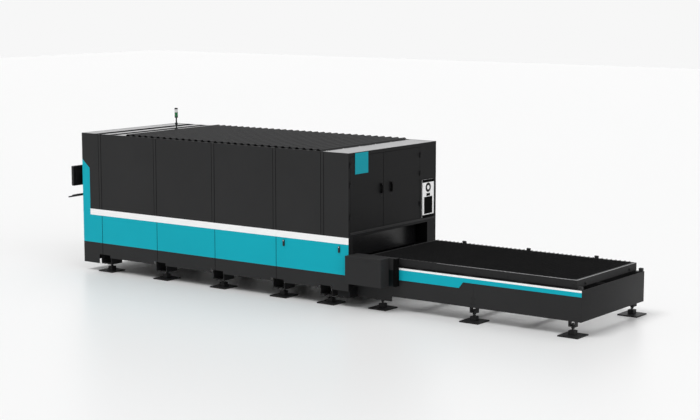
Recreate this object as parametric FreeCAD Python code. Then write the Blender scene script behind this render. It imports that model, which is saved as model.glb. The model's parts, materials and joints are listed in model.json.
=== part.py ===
import FreeCAD, Part
import math
import os

# Enclosed sheet-metal laser cutting machine with an exchange table, in millimetres.
# Working frame: X = 0 is the cabin's exchange-end face and +X runs out over the exchange
# base, Y = 0 is the long near side, Z = 0 is the floor.  Every solid is shifted on export,
# so that the part's own origin lies on the floor under the middle of the whole machine.

# ---- cabin, overall -----------------------------------------------------------------
base_half_width = 901.0
cabin_side = 206.5
cabin_width = 2 * (base_half_width + cabin_side)
cabin_height = 2200.0
centre_y = cabin_width / 2
panel_depth = 30.0
sheet = 2.0
seam_gap = 4.0
slide_gap = 0.3
bore_gap = 0.05

# ---- cabin, bands and bays -----------------------------------------------------------
skirt_low_z = 130.0
skirt_z = 235.0
teal_low_z = 462.0
stripe_low_z = 903.0
stripe_top_z = 998.0
first_bay = 416.0
bay_pitch = 1182.0
last_bay = 1315.0
bay_count = 5
cabinet_bay = 440.0
cabin_length = first_bay + bay_pitch * (bay_count - 2) + last_bay
cabin_left_x = -cabin_length
bay_edges = [cabin_left_x, cabin_left_x + first_bay]
for bay in range(1, bay_count - 1):
    bay_edges.append(bay_edges[1] + bay_pitch * bay)
bay_edges.append(0.0)
trim_width = 158.0
trim_top_z = 1781.0
trim_chamfer = 135.0
stripe_proud = 1.5

# ---- roof ----------------------------------------------------------------------------
frame_top_z = cabin_height - 40.0
roof_sheet_z = cabin_height - 1.0
roof_margin = 3.0
roof_strip_starts = [31.0, 446.0, 720.0]
roof_strip_widths = [256.0, 144.0, 195.0]
end_plate_x = -450.0
bellows_fold_count = 30
bellows_rise = 66.0
bellows_skin = 3.0
cover_bar_width = 42.0
cover_bar_height = 36.0
cover_bar_skin = 3.0
cover_grip_width = 180.0
cover_grip_rise = 22.0
cover_grip_thick = 8.0
cover_grip_inset = 12.0

# ---- levelling feet ------------------------------------------------------------------
foot_plate = 300.0
foot_plate_thick = 18.0
foot_block = 88.0
foot_block_height = 60.0
foot_screw_across = 28.0
foot_screw_top = 176.0
foot_nut_across = 46.0
foot_nut_height = 22.0
bracket_base_z = 125.0
bracket_plate = 20.0
bracket_width = 220.0
bracket_depth = 240.0
bracket_cheek = 12.0
pocket_width = 236.0
first_foot = 461.0
last_foot_x = -421.0
bay_foot_offsets = [48.0, 34.0, 20.0]
cabin_foot_y = 154.0
base_feet_x = [410.0, 1934.0, 3450.0]
base_foot_inset = 57.0
base_bracket_width = 104.0
base_bracket_depth = 76.0

# ---- bed -----------------------------------------------------------------------------
bed_floor_z = 278.0
bed_floor = 12.0
bed_wall = 100.0
bed_web_lap = 8.5
bed_wall_top_z = 880.0
bed_wall_skin = 10.0
bed_inset = 327.0
bed_left_x = cabin_left_x + bed_inset
bed_right_x = -290.0
side_beam_depth = 80.0
side_beam_skin = 8.0
track_end_x = -6.0
track_web = 8.0
track_flange = 16.0
post_size = 60.0
post_skin = 4.0
rail_width = 40.0
rail_height = 34.0

# ---- exchange end face ---------------------------------------------------------------
face_skin = 3.0
cabinet_depth = 205.0
cabinet_front = 24.0
port_near_y = 96.0
port_far_y = cabin_width - 222.0
port_low_z = bed_floor_z
port_top_z = 1000.0
sill_top_z = 1070.0
door_top_z = cabin_height - 50.0
door_near_y = 38.0
door_mid_y = 848.0
door_far_y = cabin_width - 431.0
door_gap = 2.0
door_return = 23.5
hinge_r = 7.0
knuckle_sides = 8
hinge_height = 76.0
hinge_drops = [160.0, 438.0, 897.0]
hinge_axis_x = 8.0
hinge_set_back = 3.0
hinge_leaf = 26.0
handle_width = 30.0
handle_height = 142.0
handle_left_y = door_mid_y - 61.0
handle_right_y = door_mid_y + 189.0
handle_z = 1560.0
handle_plate_margin = 8.0
handle_plate = 4.0
handle_thick = 22.0
handle_grip_low = 30.0
handle_grip_length = 67.0
handle_grip_depth = 7.0

# ---- switchgear in the cabinet ----------------------------------------------------------
gear_plate = 4.0
gear_plate_side = 60.0
gear_plate_end = 50.0
gear_duct = 40.0
gear_duct_depth = 60.0
gear_duct_rises = [30.0, 330.0, 640.0]
gear_top_duct = 70.0
gear_drive_count = 8
gear_drive_start = 70.0
gear_drive_pitch = 118.0
gear_drive = (92.0, 92.0, 220.0, 118.0)
gear_breaker_count = 12
gear_breaker_start = 60.0
gear_breaker_pitch = 62.0
gear_breaker = (54.0, 700.0, 90.0, 72.0)
gear_units = [(90.0, 240.0, 420.0, 170.0, 84.0), (390.0, 300.0, 430.0, 140.0, 84.0),
              (1196.0, 310.0, 420.0, 180.0, 96.0), (1296.0, 240.0, 92.0, 198.0, 110.0),
              (1026.0, 480.0, 700.0, 140.0, 90.0)]  # start, width, rise, height, depth

# ---- lifting gate in the port ----------------------------------------------------------
gate_face_x = -222.0
gate_thick = 32.0
gate_low_z = 655.0
gate_top_z = 1065.0
gate_edge = 30.0
guide_skin = 8.0
guide_low_z = 400.0
guide_top_z = frame_top_z - 64.0
guide_clearance = 0.5

# ---- cooling unit and badge plate on the end face ---------------------------------------
cooler_near_y = cabin_width - 374.0
cooler_far_y = cabin_width - 72.0
cooler_low_z = 1071.0
cooler_top_z = 1642.0
cooler_proud = 14.0
cooler_depth = 160.0
cooler_cap = 42.0
cooler_cap_step = 3.0
cooler_flange = 6.0
fan_depth = 10.0
fan_hub_r = 24.0
fan_z = 1522.0
fan_r = 72.0
fan_sides = 20
louvre_low_z = 1135.0
louvre_top_z = 1374.0
louvre_half_width = 100.0
louvre_count = 8
louvre_bar = 10.0
display_z = 1414.0
display_width = 86.0
display_height = 32.0
display_set = 2.0
badge_near_y = 155.0
badge_far_y = 467.0
badge_height = 301.0
badge_top_z = cabin_height - 10.0
badge_thick = 4.0

# ---- access-panel latches ----------------------------------------------------------------
latch_xs = [-1167.0, -162.0]
latch_low_z = 776.0
latch_height = 95.0
latch_width = 28.0
latch_thick = 16.0

# ---- exchange base ----------------------------------------------------------------------
base_left_x = 10.0
base_right_x = 3597.0
base_low_z = 202.0
base_top_z = 622.0
base_web = 8.0
base_flange_width = 90.0
base_flange = 16.0
skirt_thick = 4.0
skirt_left_x = 609.0
stripe_base_z = 595.0
teal_wide_z = 450.0
teal_narrow_z = 535.0
teal_step_x = 1715.0
teal_slant = 67.0
base_joint_x = 1942.0
web_drop_right_x = 600.0
web_drop = 72.0
base_joint_gap = 3.0
base_cross_height = 90.0
base_cross_width = 80.0
base_cross_count = 5
end_stop = 50.0
end_stop_height = 46.0
drive_right_x = 607.0
drive_front_y = -86.0
drive_low_z = 363.0
drive_top_z = 760.0
drive_corner_r = 26.0
drive_lid = 40.0
drive_lid_gap = 3.0
drive_lid_groove = 2.0
wing_right_x = 725.0
wing_front_y = 124.0

# ---- exchange tables ---------------------------------------------------------------------
table_left_x = 172.0
table_right_x = 3501.0
table_side = 54.0
table_half_width = base_half_width - table_side
table_low_z = 639.0
table_rail_top_z = 742.0
table_rail = 50.0
table_ledge = 12.0
table_ledge_z = 670.0
table_drop = 220.0
table_travel = 3800.0
table_cross_count = 4
shoe_count = 5
shoe_length = 120.0
shoe_width = 36.0
slat_count = 46
slat_thick = 4.0
slat_tip_z = 762.0
slat_tooth_depth = 26.0
upper_tooth_count = 8
lower_tooth_count = 3
sheet_stop_xs = [698.0, 1793.0, 2889.0]
sheet_stop_width = 56.0
sheet_stop_rise = 35.0

# ---- gantry and cutting head ---------------------------------------------------------------
gantry_x = bed_left_x + 500.0
gantry_width = 200.0
gantry_low_z = 960.0
gantry_top_z = 1240.0
gantry_skin = 10.0
carriage_length = 400.0
cross_rail = 15.0
cross_rail_height = 30.0
cross_rail_inset = 40.0
cross_rail_end = 20.0
carriage_lap = 5.0
head_y = 420.0
head_plate = 25.0
head_plate_width = 260.0
head_plate_low_z = 970.0
head_plate_top_z = 1300.0
head_slide = 14.0
head_slide_width = 24.0
head_slide_pitch = 130.0
saddle_thick = 30.0
saddle_width = 174.0
saddle_low_z = 1030.0
saddle_top_z = 1295.0
head_body = 110.0
head_low_z = 995.0
head_body_top_z = 1270.0
head_top_z = 1385.0
collimator_r = 36.0
nozzle_tip_z = 882.0
nozzle_tip_r = 8.0
nozzle_top_r = 34.0
nozzle_sides = 12

# ---- operator's end -------------------------------------------------------------------------
doorway_near_y = 430.0
doorway_far_y = cabin_width - 445.0
doorway_low_z = 500.0
doorway_top_z = 1300.0
lift_door_lap = 25.0
lift_door_thick = 24.0
lift_head_gap = 35.0
lift_door_travel = frame_top_z - lift_head_gap - lift_door_lap - doorway_top_z
window_near_y = 900.0
window_far_y = 1320.0
window_low_z = 860.0
window_top_z = 1160.0
window_pane = 8.0
window_lap = 12.0
door_frame = 20.0
lift_guide_width = 40.0
lift_guide_lip = 12.0
lift_guide_sheet = 3.0
lift_sill_height = 34.0
lift_sill_gap = 1.0
finger_pull_width = 180.0
finger_pull_height = 40.0
finger_pull_depth = 14.0
finger_pull_z = 700.0

# ---- operator's console ---------------------------------------------------------------------
console_y = 290.0
console_z = 1400.0
console_post_r = 17.0
console_socket_r = 26.0
console_socket_height = 70.0
console_axis_out = 45.0
console_reach = 141.0
console_tube = 30.0
monitor_width = 480.0
monitor_low_z = 1323.0
monitor_height = 319.0
monitor_thick = 44.0
monitor_standoff = 59.0
monitor_plate = 6.0
monitor_plate_size = 100.0
monitor_corner_r = 14.0
monitor_bezel = 16.0
monitor_pane_set = 2.0
tray_width = 420.0
tray_depth = 255.0
tray_thick = 22.0
tray_slope = 12.0
tray_back_out = 23.0
tray_back_z = 1194.0
tray_boss_wall = 8.0
tray_boss_low_z = 1130.0

# ---- signal tower -----------------------------------------------------------------------------
tower_x = cabin_left_x + 857.0
tower_y = 1283.0
tower_sides = 14
tower_pole_r = 8.0
tower_pole_height = 196.0
tower_pole_top_z = roof_sheet_z + tower_pole_height
tower_clamp_r = 13.0
tower_clamp_height = 28.0
tower_lens_r = 26.0
tower_spine_r = 6.0
tower_base_r = 30.0
tower_base_height = 12.0
tower_lamp_r = 27.0
tower_socket_height = 18.0
tower_green_height = 68.0
tower_clear_height = 52.0
tower_cap_height = 20.0

# ---- derived places -----------------------------------------------------------------------------
near_in = panel_depth
far_in = cabin_width - panel_depth
table_near_y = centre_y - table_half_width
table_far_y = centre_y + table_half_width
base_near_y = centre_y - base_half_width
base_far_y = centre_y + base_half_width
bed_wall_offset = base_near_y + bed_web_lap - bed_wall
cover_bar_x = end_plate_x - cover_bar_width
roof_strips = []
for start, width in zip(roof_strip_starts, roof_strip_widths):
    roof_strips.append((cabin_left_x + start, cabin_left_x + start + width))
cabin_feet_x = [cabin_left_x + first_foot]
for edge, offset in zip(bay_edges[2:-1], bay_foot_offsets):
    cabin_feet_x.append(edge + offset)
cabin_feet_x.append(last_foot_x)
hinge_zs = [door_top_z - drop for drop in hinge_drops]
tower_green_z = tower_pole_top_z + tower_socket_height
tower_clear_z = tower_green_z + tower_green_height
tower_cap_z = tower_clear_z + tower_clear_height
bellows_left_x = roof_strips[-1][1]
shoe_height = table_low_z - base_top_z - slide_gap
console_axis_x = cabin_left_x - console_axis_out
drop_x = console_axis_x - console_reach
monitor_x = drop_x - console_tube / 2 - monitor_standoff
tray_back_x = drop_x + tray_back_out
part_left_x = min(monitor_x - monitor_thick, tray_back_x - tray_depth)
part_right_x = max(base_right_x, base_feet_x[-1] + foot_plate / 2)
origin_x = (part_left_x + part_right_x) / 2
origin_y = (drive_front_y + cabin_width + stripe_proud) / 2


# ---- shape helpers ------------------------------------------------------------------------------
def vec(x, y, z):
    return FreeCAD.Vector(x, y, z)


def block(x0, x1, y0, y1, z0, z1):
    return Part.makeBox(x1 - x0, y1 - y0, z1 - z0, vec(x0, y0, z0))


def rod(start, axis, radius, length):
    return Part.makeCylinder(radius, length, start, axis)


def ring_points(x, y, z, radius, sides):
    """The corners of a level polygon, which stands for a small circle."""
    turns = [2 * math.pi * corner / sides for corner in range(sides)]
    return [vec(x + radius * math.cos(turn), y + radius * math.sin(turn), z) for turn in turns]


def polygon_face(points):
    return Part.Face(Part.makePolygon(points + points[:1]))


def prism(x, y, z, radius, sides, height):
    """An upright round piece with a few flat sides, from z up."""
    return polygon_face(ring_points(x, y, z, radius, sides)).extrude(vec(0, 0, height))


def taper(x, y, low_z, low_r, top_z, top_r, sides):
    """An upright cone with a few flat sides, cut off at both ends."""
    low = ring_points(x, y, low_z, low_r, sides)
    top = ring_points(x, y, top_z, top_r, sides)
    faces = [polygon_face(low), polygon_face(top)]
    for corner in range(sides):
        after = (corner + 1) % sides
        faces.append(polygon_face([low[corner], low[after], top[after], top[corner]]))
    return Part.Solid(Part.Shell(faces))


def fuse(shapes):
    return shapes[0].multiFuse(shapes[1:]).removeSplitter()


def group(shapes):
    return Part.makeCompound(shapes)


def mirrored(shape):
    """The same shape on the far side of the machine's middle plane."""
    return shape.mirror(vec(0, centre_y, 0), vec(0, 1, 0))


def plate_xz(points, y0, y1):
    """A plate with an outline in X and Z, from y0 to y1."""
    return polygon_face([vec(x, y0, z) for x, z in points]).extrude(vec(0, y1 - y0, 0))


def plate_yz(points, x0, x1):
    """A plate with an outline in Y and Z, from x0 to x1."""
    return polygon_face([vec(x0, y, z) for y, z in points]).extrude(vec(x1 - x0, 0, 0))


def tube_x(x0, x1, y0, y1, z0, z1, wall):
    inner = block(x0 - 1, x1 + 1, y0 + wall, y1 - wall, z0 + wall, z1 - wall)
    return block(x0, x1, y0, y1, z0, z1).cut(inner)


def tube_y(x0, x1, y0, y1, z0, z1, wall):
    inner = block(x0 + wall, x1 - wall, y0 - 1, y1 + 1, z0 + wall, z1 - wall)
    return block(x0, x1, y0, y1, z0, z1).cut(inner)


def tube_z(x0, x1, y0, y1, z0, z1, wall):
    inner = block(x0 + wall, x1 - wall, y0 + wall, y1 - wall, z0 - 1, z1 + 1)
    return block(x0, x1, y0, y1, z0, z1).cut(inner)


def folded_panel(points):
    """A side cover: one sheet, folded back all round by the panel's depth."""
    corners = [vec(x, 0, z) for x, z in points]
    wire = Part.makePolygon(corners + corners[:1])
    outer = Part.Face(wire)
    inner_wire = wire.makeOffset2D(-sheet, 2)
    if inner_wire.BoundBox.XLength > wire.BoundBox.XLength:
        inner_wire = wire.makeOffset2D(sheet, 2)
    hollow = Part.Face(inner_wire).extrude(vec(0, panel_depth, 0))
    hollow.translate(vec(0, sheet, 0))
    return outer.extrude(vec(0, panel_depth, 0)).cut(hollow)


# ---- side covers ----------------------------------------------------------------------------------
def seam_span(left, right):
    """A cover's ends, drawn in by half a seam, except at the cabin's own ends."""
    low = left if left == cabin_left_x else left + seam_gap / 2
    high = right if right == 0.0 else right - seam_gap / 2
    return low, high


def teal_outline(index):
    left, right = seam_span(bay_edges[index], bay_edges[index + 1])
    top = stripe_low_z
    if index > 0:
        return [(left, teal_low_z), (right, teal_low_z), (right, top), (left, top)]
    trim = left + trim_width
    return [(left, teal_low_z), (right, teal_low_z), (right, top), (trim, top),
            (trim, trim_top_z - trim_chamfer), (left, trim_top_z)]


def upper_outlines():
    edges = bay_edges[:-1] + [-cabinet_bay, 0.0]
    outlines = []
    for left_edge, right_edge in zip(edges, edges[1:]):
        left, right = seam_span(left_edge, right_edge)
        if left_edge == cabin_left_x:
            trim = left + trim_width + seam_gap / 2
            rise = trim_top_z - trim_chamfer + seam_gap / 2
            outlines.append([(trim, stripe_top_z), (right, stripe_top_z), (right, cabin_height),
                             (left, cabin_height), (left, trim_top_z + seam_gap), (trim, rise)])
        else:
            outlines.append([(left, stripe_top_z), (right, stripe_top_z),
                             (right, cabin_height), (left, cabin_height)])
    return outlines


def stripe_bar():
    left = cabin_left_x + trim_width + seam_gap / 2
    bar = block(left, 0.0, -stripe_proud, panel_depth, stripe_low_z, stripe_top_z)
    hollow = block(left + sheet, -sheet, sheet, panel_depth + 1, stripe_low_z + sheet,
                   stripe_top_z - sheet)
    bar = bar.cut(hollow)
    for x in bay_edges[1:-1]:
        bar = bar.cut(block(x - 1, x + 1, -stripe_proud, 0, stripe_low_z, stripe_top_z))
    return bar


def skirt():
    step_x = bay_edges[1] - seam_gap / 2
    cover = folded_panel([(cabin_left_x, skirt_low_z), (step_x, skirt_low_z), (step_x, skirt_z),
                          (0.0, skirt_z), (0.0, teal_low_z), (cabin_left_x, teal_low_z)])
    for x in cabin_feet_x:
        half = pocket_width / 2
        cover = cover.cut(block(x - half, x + half, -1, panel_depth + 1, 0, bed_floor_z))
    for x in bay_edges[1:-1]:
        cover = cover.cut(block(x - 1, x + 1, -1, 1, skirt_low_z, teal_low_z))
    return cover


# ---- feet and their brackets --------------------------------------------------------------------
def foot_places():
    near = [(x, cabin_foot_y) for x in cabin_feet_x]
    far = [(x, cabin_width - cabin_foot_y) for x in cabin_feet_x]
    base_y = base_near_y + base_foot_inset
    near += [(x, base_y) for x in base_feet_x]
    far += [(x, cabin_width - base_y) for x in base_feet_x]
    return near + far


def hexagon(x, y, z, across, height):
    return prism(x, y, z, across / 2 / math.cos(math.pi / 6), 6, height)


def levelling_foot(x, y):
    half = foot_plate / 2
    small = foot_block / 2
    plate = block(x - half, x + half, y - half, y + half, 0, foot_plate_thick)
    pad_top = foot_plate_thick + foot_block_height
    pad = block(x - small, x + small, y - small, y + small, foot_plate_thick, pad_top)
    screw = hexagon(x, y, pad_top, foot_screw_across, foot_screw_top - pad_top)
    lower_nut = hexagon(x, y, bracket_base_z - foot_nut_height, foot_nut_across, foot_nut_height)
    return fuse([plate, pad, screw, lower_nut])


def foot_bracket(x, y, width, depth, top_z):
    """A slotted shoe that is bolted under a beam and takes a foot's screw."""
    left = x - width / 2
    right = x + width / 2
    near = y - depth / 2
    far = y + depth / 2
    base = block(left, right, near, far, bracket_base_z, bracket_base_z + bracket_plate)
    slot = foot_screw_across / 2 / math.cos(math.pi / 6) + slide_gap
    base = base.cut(block(x - slot, x + slot, near - 1, y + slot, bracket_base_z - 1,
                          bracket_base_z + bracket_plate + 1))
    cheeks = [block(left, left + bracket_cheek, near, far, bracket_base_z, top_z),
              block(right - bracket_cheek, right, near, far, bracket_base_z, top_z)]
    return fuse([base] + cheeks)


def foot_brackets():
    near = [foot_bracket(x, cabin_foot_y, bracket_width, bracket_depth, bed_floor_z)
            for x in cabin_feet_x]
    base_y = base_near_y + base_foot_inset
    near += [foot_bracket(x, base_y, base_bracket_width, base_bracket_depth, base_low_z)
             for x in base_feet_x]
    return group(near + [mirrored(bracket) for bracket in near])


# ---- bed and frame --------------------------------------------------------------------------------
def bed_side():
    """The near half of the welded bed: wall, side beam and tracks."""
    wall_y = bed_wall_offset
    wall_in_y = wall_y + bed_wall
    floor_top = bed_floor_z + bed_floor
    track_y = base_near_y + base_flange_width
    pieces = [tube_x(bed_left_x, bed_right_x, wall_y, wall_in_y, floor_top, bed_wall_top_z,
                     bed_wall_skin)]
    beam_right = gate_face_x - gate_thick - 2 * guide_skin
    pieces.append(tube_x(cabin_left_x + panel_depth, beam_right, near_in,
                         near_in + side_beam_depth, floor_top, teal_low_z, side_beam_skin))
    web_y = wall_in_y - track_web
    pieces.append(block(bed_right_x, track_end_x, web_y, wall_in_y, floor_top, base_top_z))
    for top in (base_top_z, base_top_z - table_drop):
        pieces.append(block(bed_left_x, track_end_x, wall_in_y, track_y, top - track_flange, top))
    return pieces


def bed():
    near = bed_side()
    far = [mirrored(piece) for piece in near]
    floor_top = bed_floor_z + bed_floor
    floor_right = gate_face_x - gate_thick - 2 * guide_skin
    floor = block(cabin_left_x + panel_depth, floor_right, near_in, far_in, bed_floor_z, floor_top)
    apron_y = bed_wall_offset
    apron = block(floor_right, track_end_x, apron_y, cabin_width - bed_wall_offset - bed_wall,
                  bed_floor_z, floor_top)
    apron = apron.fuse(mirrored(apron))
    apron = apron.common(block(floor_right, 0, port_near_y + 1, port_far_y - 1, 0, cabin_height))
    stop = block(bed_left_x, bed_left_x + bed_wall_skin, bed_wall_offset + bed_wall,
                 cabin_width - bed_wall_offset - bed_wall, floor_top, bed_wall_top_z)
    whole = fuse(near + far + [floor, apron, stop])
    pillar = block(floor_right, 0, port_far_y - 1, far_in, 0, port_top_z)
    return whole.cut(pillar)


def post_xs():
    half = post_size / 2
    return [cabin_left_x + panel_depth + half] + bay_edges[1:-1] + [-cabinet_bay]


def cabin_frame():
    half = post_size / 2
    near = near_in
    inside = near + post_size
    rail_low = frame_top_z - post_size
    left = cabin_left_x + panel_depth
    pieces = [tube_x(left, -cabinet_depth, near, inside, rail_low, frame_top_z, post_skin)]
    for x in post_xs():
        pieces.append(tube_z(x - half, x + half, near, inside, teal_low_z, rail_low, post_skin))
    pieces += [mirrored(piece) for piece in pieces]
    ties = [(roof_strips[0][1] + roof_strips[1][0]) / 2, (roof_strips[1][1] + roof_strips[2][0]) / 2,
            bellows_left_x, end_plate_x]
    far_inside = cabin_width - inside
    for x in ties:
        pieces.append(tube_y(x - post_size, x + post_size, inside, far_inside, rail_low,
                             frame_top_z, post_skin))
    return fuse(pieces)


def linear_rails():
    middle = bed_wall_offset + bed_wall / 2
    half = rail_width / 2
    waist = rail_width / 5
    top = bed_wall_top_z + rail_height
    points = [(middle - half, bed_wall_top_z), (middle + half, bed_wall_top_z),
              (middle + half, bed_wall_top_z + rail_height / 3),
              (middle + half - waist, bed_wall_top_z + rail_height / 2),
              (middle + half, top - rail_height / 4), (middle + half, top),
              (middle - half, top), (middle - half, top - rail_height / 4),
              (middle - half + waist, bed_wall_top_z + rail_height / 2),
              (middle - half, bed_wall_top_z + rail_height / 3)]
    near = plate_yz(points, bed_left_x + seam_gap, bed_right_x - seam_gap)
    return group([near, mirrored(near)])


# ---- exchange end ---------------------------------------------------------------------------------
def gate_guide():
    front = gate_face_x + guide_clearance
    back = gate_face_x - gate_thick - guide_clearance
    web_y = port_near_y - gate_edge - guide_skin - guide_clearance
    front_flange = block(front, front + guide_skin, web_y, port_near_y, guide_low_z, guide_top_z)
    back_flange = block(back - guide_skin, back, web_y, port_near_y, guide_low_z, guide_top_z)
    web = block(back - guide_skin, front + guide_skin, web_y, web_y + guide_skin, guide_low_z,
                guide_top_z)
    return [front_flange, back_flange, web]


def far_gate_guide():
    shift = port_far_y + port_near_y
    pieces = []
    for piece in gate_guide():
        pieces.append(piece.mirror(vec(0, shift / 2, 0), vec(0, 1, 0)))
    return pieces


def end_frame():
    pillar_x = gate_face_x + guide_clearance + guide_skin
    face = block(-face_skin, 0, near_in, far_in, skirt_low_z, cabin_height)
    back = -face_skin - 1
    face = face.cut(block(back, 1, port_near_y, port_far_y, port_low_z, port_top_z))
    face = face.cut(block(back, 1, door_near_y, door_far_y, sill_top_z, door_top_z))
    flange = cooler_flange
    face = face.cut(block(back, 1, cooler_near_y + flange, cooler_far_y - flange,
                          cooler_low_z + flange, cooler_top_z - flange))
    back = -cabinet_depth
    pieces = [face]
    pieces.append(tube_y(back, -face_skin, near_in, far_in, port_top_z, sill_top_z, face_skin))
    pieces.append(tube_z(pillar_x, -face_skin, near_in, port_near_y, skirt_low_z, port_top_z,
                         face_skin))
    pieces.append(tube_z(pillar_x, -face_skin, port_far_y, far_in, skirt_low_z, port_top_z,
                         face_skin))
    pieces.append(tube_y(-post_size, -face_skin, port_near_y, port_far_y, skirt_low_z,
                         port_low_z, face_skin))
    pieces.append(block(back, -face_skin, near_in, far_in, door_top_z, frame_top_z))
    pieces.append(block(back, -face_skin, near_in, door_near_y, sill_top_z, door_top_z))
    pieces.append(block(back, -face_skin, door_far_y, door_far_y + guide_skin, sill_top_z,
                        door_top_z))
    pieces.append(block(back, -face_skin, far_in - face_skin, far_in, sill_top_z, door_top_z))
    pieces += gate_guide()
    pieces += far_gate_guide()
    return fuse(pieces)


def gate():
    back = gate_face_x - gate_thick
    near = port_near_y - gate_edge
    far = port_far_y + gate_edge
    leaf = block(back, gate_face_x, near, far, gate_low_z, gate_top_z)
    hollow = block(back - 1, gate_face_x - sheet, near + gate_edge, far - gate_edge,
                   gate_low_z + gate_edge, gate_top_z - gate_edge)
    rib_z = (gate_low_z + gate_top_z) / 2
    rib = block(back, gate_face_x, near, far, rib_z - gate_edge / 2, rib_z + gate_edge / 2)
    return fuse([leaf.cut(hollow), rib])


def electrical_cabinet():
    shell = block(-cabinet_depth, -cabinet_front, door_near_y, door_far_y, sill_top_z, door_top_z)
    hollow = block(-cabinet_depth + sheet, 0, door_near_y + sheet, door_far_y - sheet,
                   sill_top_z + sheet, door_top_z - sheet)
    return shell.cut(hollow)


def switchgear_plate():
    """The mounting plate in the cabinet, with its drives, breakers and wiring ducts."""
    back = -cabinet_depth + sheet
    front = back + gear_plate
    near = door_near_y + gear_plate_side
    far = door_far_y - gear_plate_side
    low = sill_top_z + gear_plate_end
    pieces = [block(back, front, near, far, low, door_top_z - gear_plate_end)]

    def unit(start, width, rise, height, depth):
        pieces.append(block(front, front + depth, near + start, near + start + width,
                            low + rise, low + rise + height))

    plate_height = door_top_z - gear_plate_end - low
    for rise in gear_duct_rises + [plate_height - gear_top_duct]:
        unit(gear_duct, far - near - 2 * gear_duct, rise, gear_duct, gear_duct_depth)
    for place in range(gear_drive_count):
        unit(gear_drive_start + place * gear_drive_pitch, *gear_drive)
    for place in range(gear_breaker_count):
        unit(gear_breaker_start + place * gear_breaker_pitch, *gear_breaker)
    for sizes in gear_units:
        unit(*sizes)
    return fuse(pieces)


def hinge_axis_y(side):
    if side == "left":
        return door_near_y - hinge_set_back
    return door_far_y + hinge_set_back


def hinge_fixed(side, z):
    """The frame's half of a hinge: the lower knuckle and its leaf."""
    y = hinge_axis_y(side)
    leaf_width = door_near_y - hinge_set_back - near_in
    edge = y - leaf_width if side == "left" else y + leaf_width
    height = hinge_height / 2 - slide_gap
    knuckle = prism(hinge_axis_x, y, z, hinge_r, knuckle_sides, height)
    leaf = block(0, hinge_axis_x, min(edge, y), max(edge, y), z, z + height)
    return fuse([knuckle, leaf])


def door_hinges():
    return group([hinge_fixed(side, z) for side in ("left", "right") for z in hinge_zs])


def door_leaf(side):
    """A cabinet door: folded sheet with upper hinge knuckles and a handle's plate."""
    if side == "left":
        near = door_near_y + door_gap
        far = door_mid_y - door_gap / 2
        handle_y = handle_left_y
    else:
        near = door_mid_y + door_gap / 2
        far = door_far_y - door_gap
        handle_y = handle_right_y
    low = sill_top_z + door_gap
    top = door_top_z - door_gap
    leaf = block(-door_return, 0, near, far, low, top)
    leaf = leaf.cut(block(-door_return - 1, -sheet, near + sheet, far - sheet, low + sheet,
                          top - sheet))
    pieces = [leaf]
    y = hinge_axis_y(side)
    half = hinge_height / 2
    for z in hinge_zs:
        pieces.append(prism(hinge_axis_x, y, z + half, hinge_r, knuckle_sides, half))
        inner = y + hinge_leaf if side == "left" else y - hinge_leaf
        plate = block(0, hinge_axis_x / 2, min(inner, y), max(inner, y), z + half,
                      z + hinge_height)
        pieces.append(plate)
    width = handle_width / 2 + handle_plate_margin
    pieces.append(block(-sheet, handle_plate, handle_y - width, handle_y + width,
                        handle_z - handle_plate_margin,
                        handle_z + handle_height + handle_plate_margin))
    return fuse(pieces)


def lever_outline(middle, low, height, width):
    """An upright lever's outline with bevelled ends."""
    half = width / 2
    bevel = width / 3
    top = low + height
    return [(middle - half + bevel, low), (middle + half - bevel, low), (middle + half, low + bevel),
            (middle + half, top - bevel), (middle + half - bevel, top),
            (middle - half + bevel, top), (middle - half, top - bevel), (middle - half, low + bevel)]


def door_handle(y):
    front = handle_plate + slide_gap
    outline = lever_outline(y, handle_z, handle_height, handle_width)
    lever = plate_yz(outline, front, front + handle_thick)
    grip_low = handle_z + handle_grip_low
    recess = block(front - 1, front + handle_grip_depth, y - handle_width, y + handle_width,
                   grip_low, grip_low + handle_grip_length)
    return lever.cut(recess)


def fan_disc(middle, radius):
    """A many-sided disc round the cooler's fan, in the end face's plane."""
    points = []
    for corner in range(fan_sides):
        turn = 2 * math.pi * corner / fan_sides
        points.append((middle + radius * math.cos(turn), fan_z + radius * math.sin(turn)))
    return plate_yz(points, 0, cooler_proud)


def cooling_unit():
    """A cabinet cooler set through the end face, with its fan, display and louvres."""
    middle = (cooler_near_y + cooler_far_y) / 2
    flange = cooler_flange
    front = block(0, cooler_proud, cooler_near_y, cooler_far_y, cooler_low_z, cooler_top_z)
    body = block(-cooler_depth, 0, cooler_near_y + flange, cooler_far_y - flange,
                 cooler_low_z + flange, cooler_top_z - flange)
    unit = fuse([front, body])
    for low, top in ((cooler_low_z, cooler_low_z + cooler_cap),
                     (cooler_top_z - cooler_cap, cooler_top_z)):
        unit = unit.cut(block(cooler_proud - cooler_cap_step, cooler_proud, cooler_near_y,
                              cooler_far_y, low, top))
    ring = fan_disc(middle, fan_r).cut(fan_disc(middle, fan_hub_r))
    ring.translate(vec(cooler_proud - fan_depth, 0, 0))
    unit = unit.cut(ring)
    unit = unit.cut(block(cooler_proud - display_set, cooler_proud + 1, middle - display_width / 2,
                          middle + display_width / 2, display_z - display_height / 2,
                          display_z + display_height / 2))
    pitch = (louvre_top_z - louvre_low_z) / louvre_count
    for slot in range(louvre_count):
        low = louvre_low_z + slot * pitch
        unit = unit.cut(block(cooler_proud - fan_depth, cooler_proud + 1,
                              middle - louvre_half_width, middle + louvre_half_width,
                              low + louvre_bar, low + pitch))
    return unit


def badge_plate():
    return block(0, badge_thick, badge_near_y, badge_far_y, badge_top_z - badge_height, badge_top_z)


def latch(x):
    """A quarter-turn paddle that holds the removable access panel."""
    outline = lever_outline(x, latch_low_z, latch_height, latch_width)
    return plate_xz(outline, -slide_gap - latch_thick, -slide_gap)


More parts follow.
